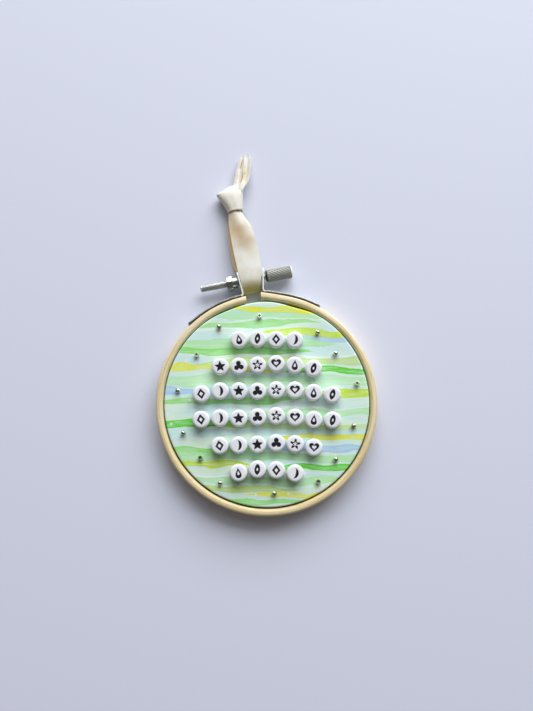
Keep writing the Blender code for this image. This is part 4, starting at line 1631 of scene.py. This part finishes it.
def tape(name, rows, sharpness, creases):
    """A strip of ribbon on the rows. Its middle bulges out of the loop, and in a tail downwards.

    Sharpness 2 is a soft bulge, and nearer 1 a fold.
    """
    path = between(rows, TAPE_STEPS)
    points = []
    uvs = []
    tones = []
    travelled = 0.0
    for i, row in enumerate(path):
        before = path[max(i - 1, 0)]
        after = path[min(i + 1, len(path) - 1)]
        out = Vector((0.0, after.z - before.z, before.v - after.v)).normalized()
        upwards = out if out.z > 0.0 else -out
        if i:
            travelled += math.hypot(row.v - before.v, row.z - before.z)
        behind = rows is LOOP_ROWS and out.z < 0.0
        point_line = []
        tone_line = []
        for k in range(TAPE_STRIPS + 1):
            across = k / TAPE_STRIPS
            u = row.left + (row.right - row.left) * across
            bulge = row.camber * (1.0 - abs(2.0 * across - 1.0) ** sharpness)
            sunk = 0.0 if behind else crease_depth(creases, u, row.v)
            local = Vector((u, row.v, row.z)) + out * bulge - upwards * sunk
            point_line.append(by_screw(local.x * MM, local.y * MM, local.z * MM))
            tone_line.append(BACK_LEG_SHADE if behind else crease_shade(creases, u, row.v))
        points.append(point_line)
        uvs.append([(k / TAPE_STRIPS * TAPE_WIDTH, travelled) for k in range(TAPE_STRIPS + 1)])
        tones.append(tone_line)
    piece = skin(name, points, uvs, tones)
    apply_modifier(piece, "SOLIDIFY", thickness=RIBBON_THICK, offset=0.0, use_even_offset=True)
    return piece


ribbon = tape("cream_ribbon", LOOP_ROWS, 2.0, LOOP_CREASES)
tail_left = tape("tail_left", LEFT_TAIL_ROWS, 1.25, LEFT_TAIL_CREASES)
tail_right = tape("tail_right", RIGHT_TAIL_ROWS, 1.4, RIGHT_TAIL_CREASES)
print("tape of", len(ribbon.data.polygons), "faces")

# %% [markdown]
# The knot is the same tape wound round its own legs. What shows is one smooth bell, its lower edge
# lying over the legs like a lip and its left corner pointed. It is skinned over rounded sections
# along the knot. The first sections turn inwards, so that the lip is a real edge with a shadow.

# %% The knot's rows and creases
KnotRow = namedtuple("KnotRow", "v left right low high")
KNOT_ROWS = (
    KnotRow(31.6, -3.0, 0.6, 1.4, 4.9),
    KnotRow(30.5, -3.5, 1.2, 1.0, 5.3),
    KnotRow(29.8, -4.1, 1.8, 0.4, 6.0),
    KnotRow(30.1, -4.4, 2.2, 0.1, 6.4),
    KnotRow(31.2, -4.6, 2.5, 0.0, 6.5),
    KnotRow(34.0, -5.65, 2.95, 0.0, 6.6),
    KnotRow(36.2, -6.75, 3.4, 0.0, 6.5),
    KnotRow(37.9, -7.45, 3.7, 0.0, 6.1),
    KnotRow(38.6, -7.55, 3.8, 0.1, 5.8),
    KnotRow(39.4, -6.3, 3.6, 0.2, 5.4),
    KnotRow(40.2, -4.4, 2.9, 0.5, 5.0),
    KnotRow(40.9, -2.6, 1.7, 0.9, 4.6),
    KnotRow(41.2, -1.7, 0.9, 1.4, 4.1),
    KnotRow(40.6, -1.3, 0.5, 1.9, 3.6),
)
# Creases of the knot, with painted shade on its lower left side and in its folds.
KNOT_CREASES = (
    Crease(-3.9, 30.6, -6.9, 37.4, 0.6, 0.12, "peach", 0.25),
    Crease(-4.5, 31.5, -3.6, 31.0, 0.8, 0.0, "tan", 0.2),
    Crease(1.4, 31.0, 3.0, 36.0, 0.7, 0.14, "tan", 0.05),
    Crease(-1.0, 31.0, -2.2, 36.0, 0.9, 0.12, "tan", 0.1),
    Crease(-5.6, 38.8, -0.5, 40.3, 0.5, 0.1, "tan", 0.0),
)
print(len(KNOT_ROWS), "rows and", len(KNOT_CREASES), "creases in the knot")

# %% The knot
KNOT_STEPS = 6
LIP_ROWS = 2
KNOT_SIDES = 64
KNOT_FLATTEN = 0.75
KNOT_ROUND = 30.0
# Painted shade inside the knot's lip.
LIP_SHADE = UNTINTED.lerp(TONES["gold"], 0.8)


def knot():
    path = between(KNOT_ROWS, KNOT_STEPS)
    points = []
    uvs = []
    tones = []
    travelled = 0.0
    for i, row in enumerate(path):
        if i:
            travelled += math.hypot(row.v - path[i - 1].v, row.right - path[i - 1].right)
        middle = Vector(((row.left + row.right) / 2.0, row.v, (row.low + row.high) / 2.0))
        inside_lip = i < LIP_ROWS * KNOT_STEPS
        point_line = []
        tone_line = []
        for k in range(KNOT_SIDES):
            turn = -2.0 * math.pi * k / KNOT_SIDES
            lift = math.copysign(abs(math.sin(turn)) ** KNOT_FLATTEN, math.sin(turn))
            u = middle.x + (row.right - row.left) / 2.0 * math.cos(turn)
            z = middle.z + (row.high - row.low) / 2.0 * lift
            sunk = crease_depth(KNOT_CREASES, u, row.v) * max(lift, 0.0)
            point_line.append(by_screw(u * MM, row.v * MM, (z - sunk) * MM))
            tone_line.append(LIP_SHADE if inside_lip else crease_shade(KNOT_CREASES, u, row.v))
        points.append(point_line)
        uvs.append([(k / KNOT_SIDES * KNOT_ROUND, travelled) for k in range(KNOT_SIDES)])
        tones.append(tone_line)
    return skin("knot", points, uvs, tones, closed=True)


knot_piece = knot()
edit(knot_piece)
bpy.ops.mesh.fill_holes(sides=0)
bpy.ops.mesh.normals_make_consistent(inside=False)
leave_edit()
print("knot of", len(knot_piece.data.polygons), "faces")

# %% The ribbon in one piece
ribbon = join(ribbon, knot_piece, tail_left, tail_right)
edit(ribbon)
bpy.ops.mesh.normals_make_consistent(inside=False)
leave_edit()
settle(ribbon, "cream_ribbon", smooth=50.0)
stand_for(ribbon, "ribbon", cream)
ribbon_area = sum(face.area for face in ribbon.data.polygons) / 2.0
print("ribbon's cloth covers", round(ribbon_area * 1e6), "square mm")

# %% [markdown]
# ## Putting down
#
# Last, the script leaves edit mode and selects nothing. The visual pieces have to stay
# as large as the solids they stand for.

# %% Select nothing
put_down()
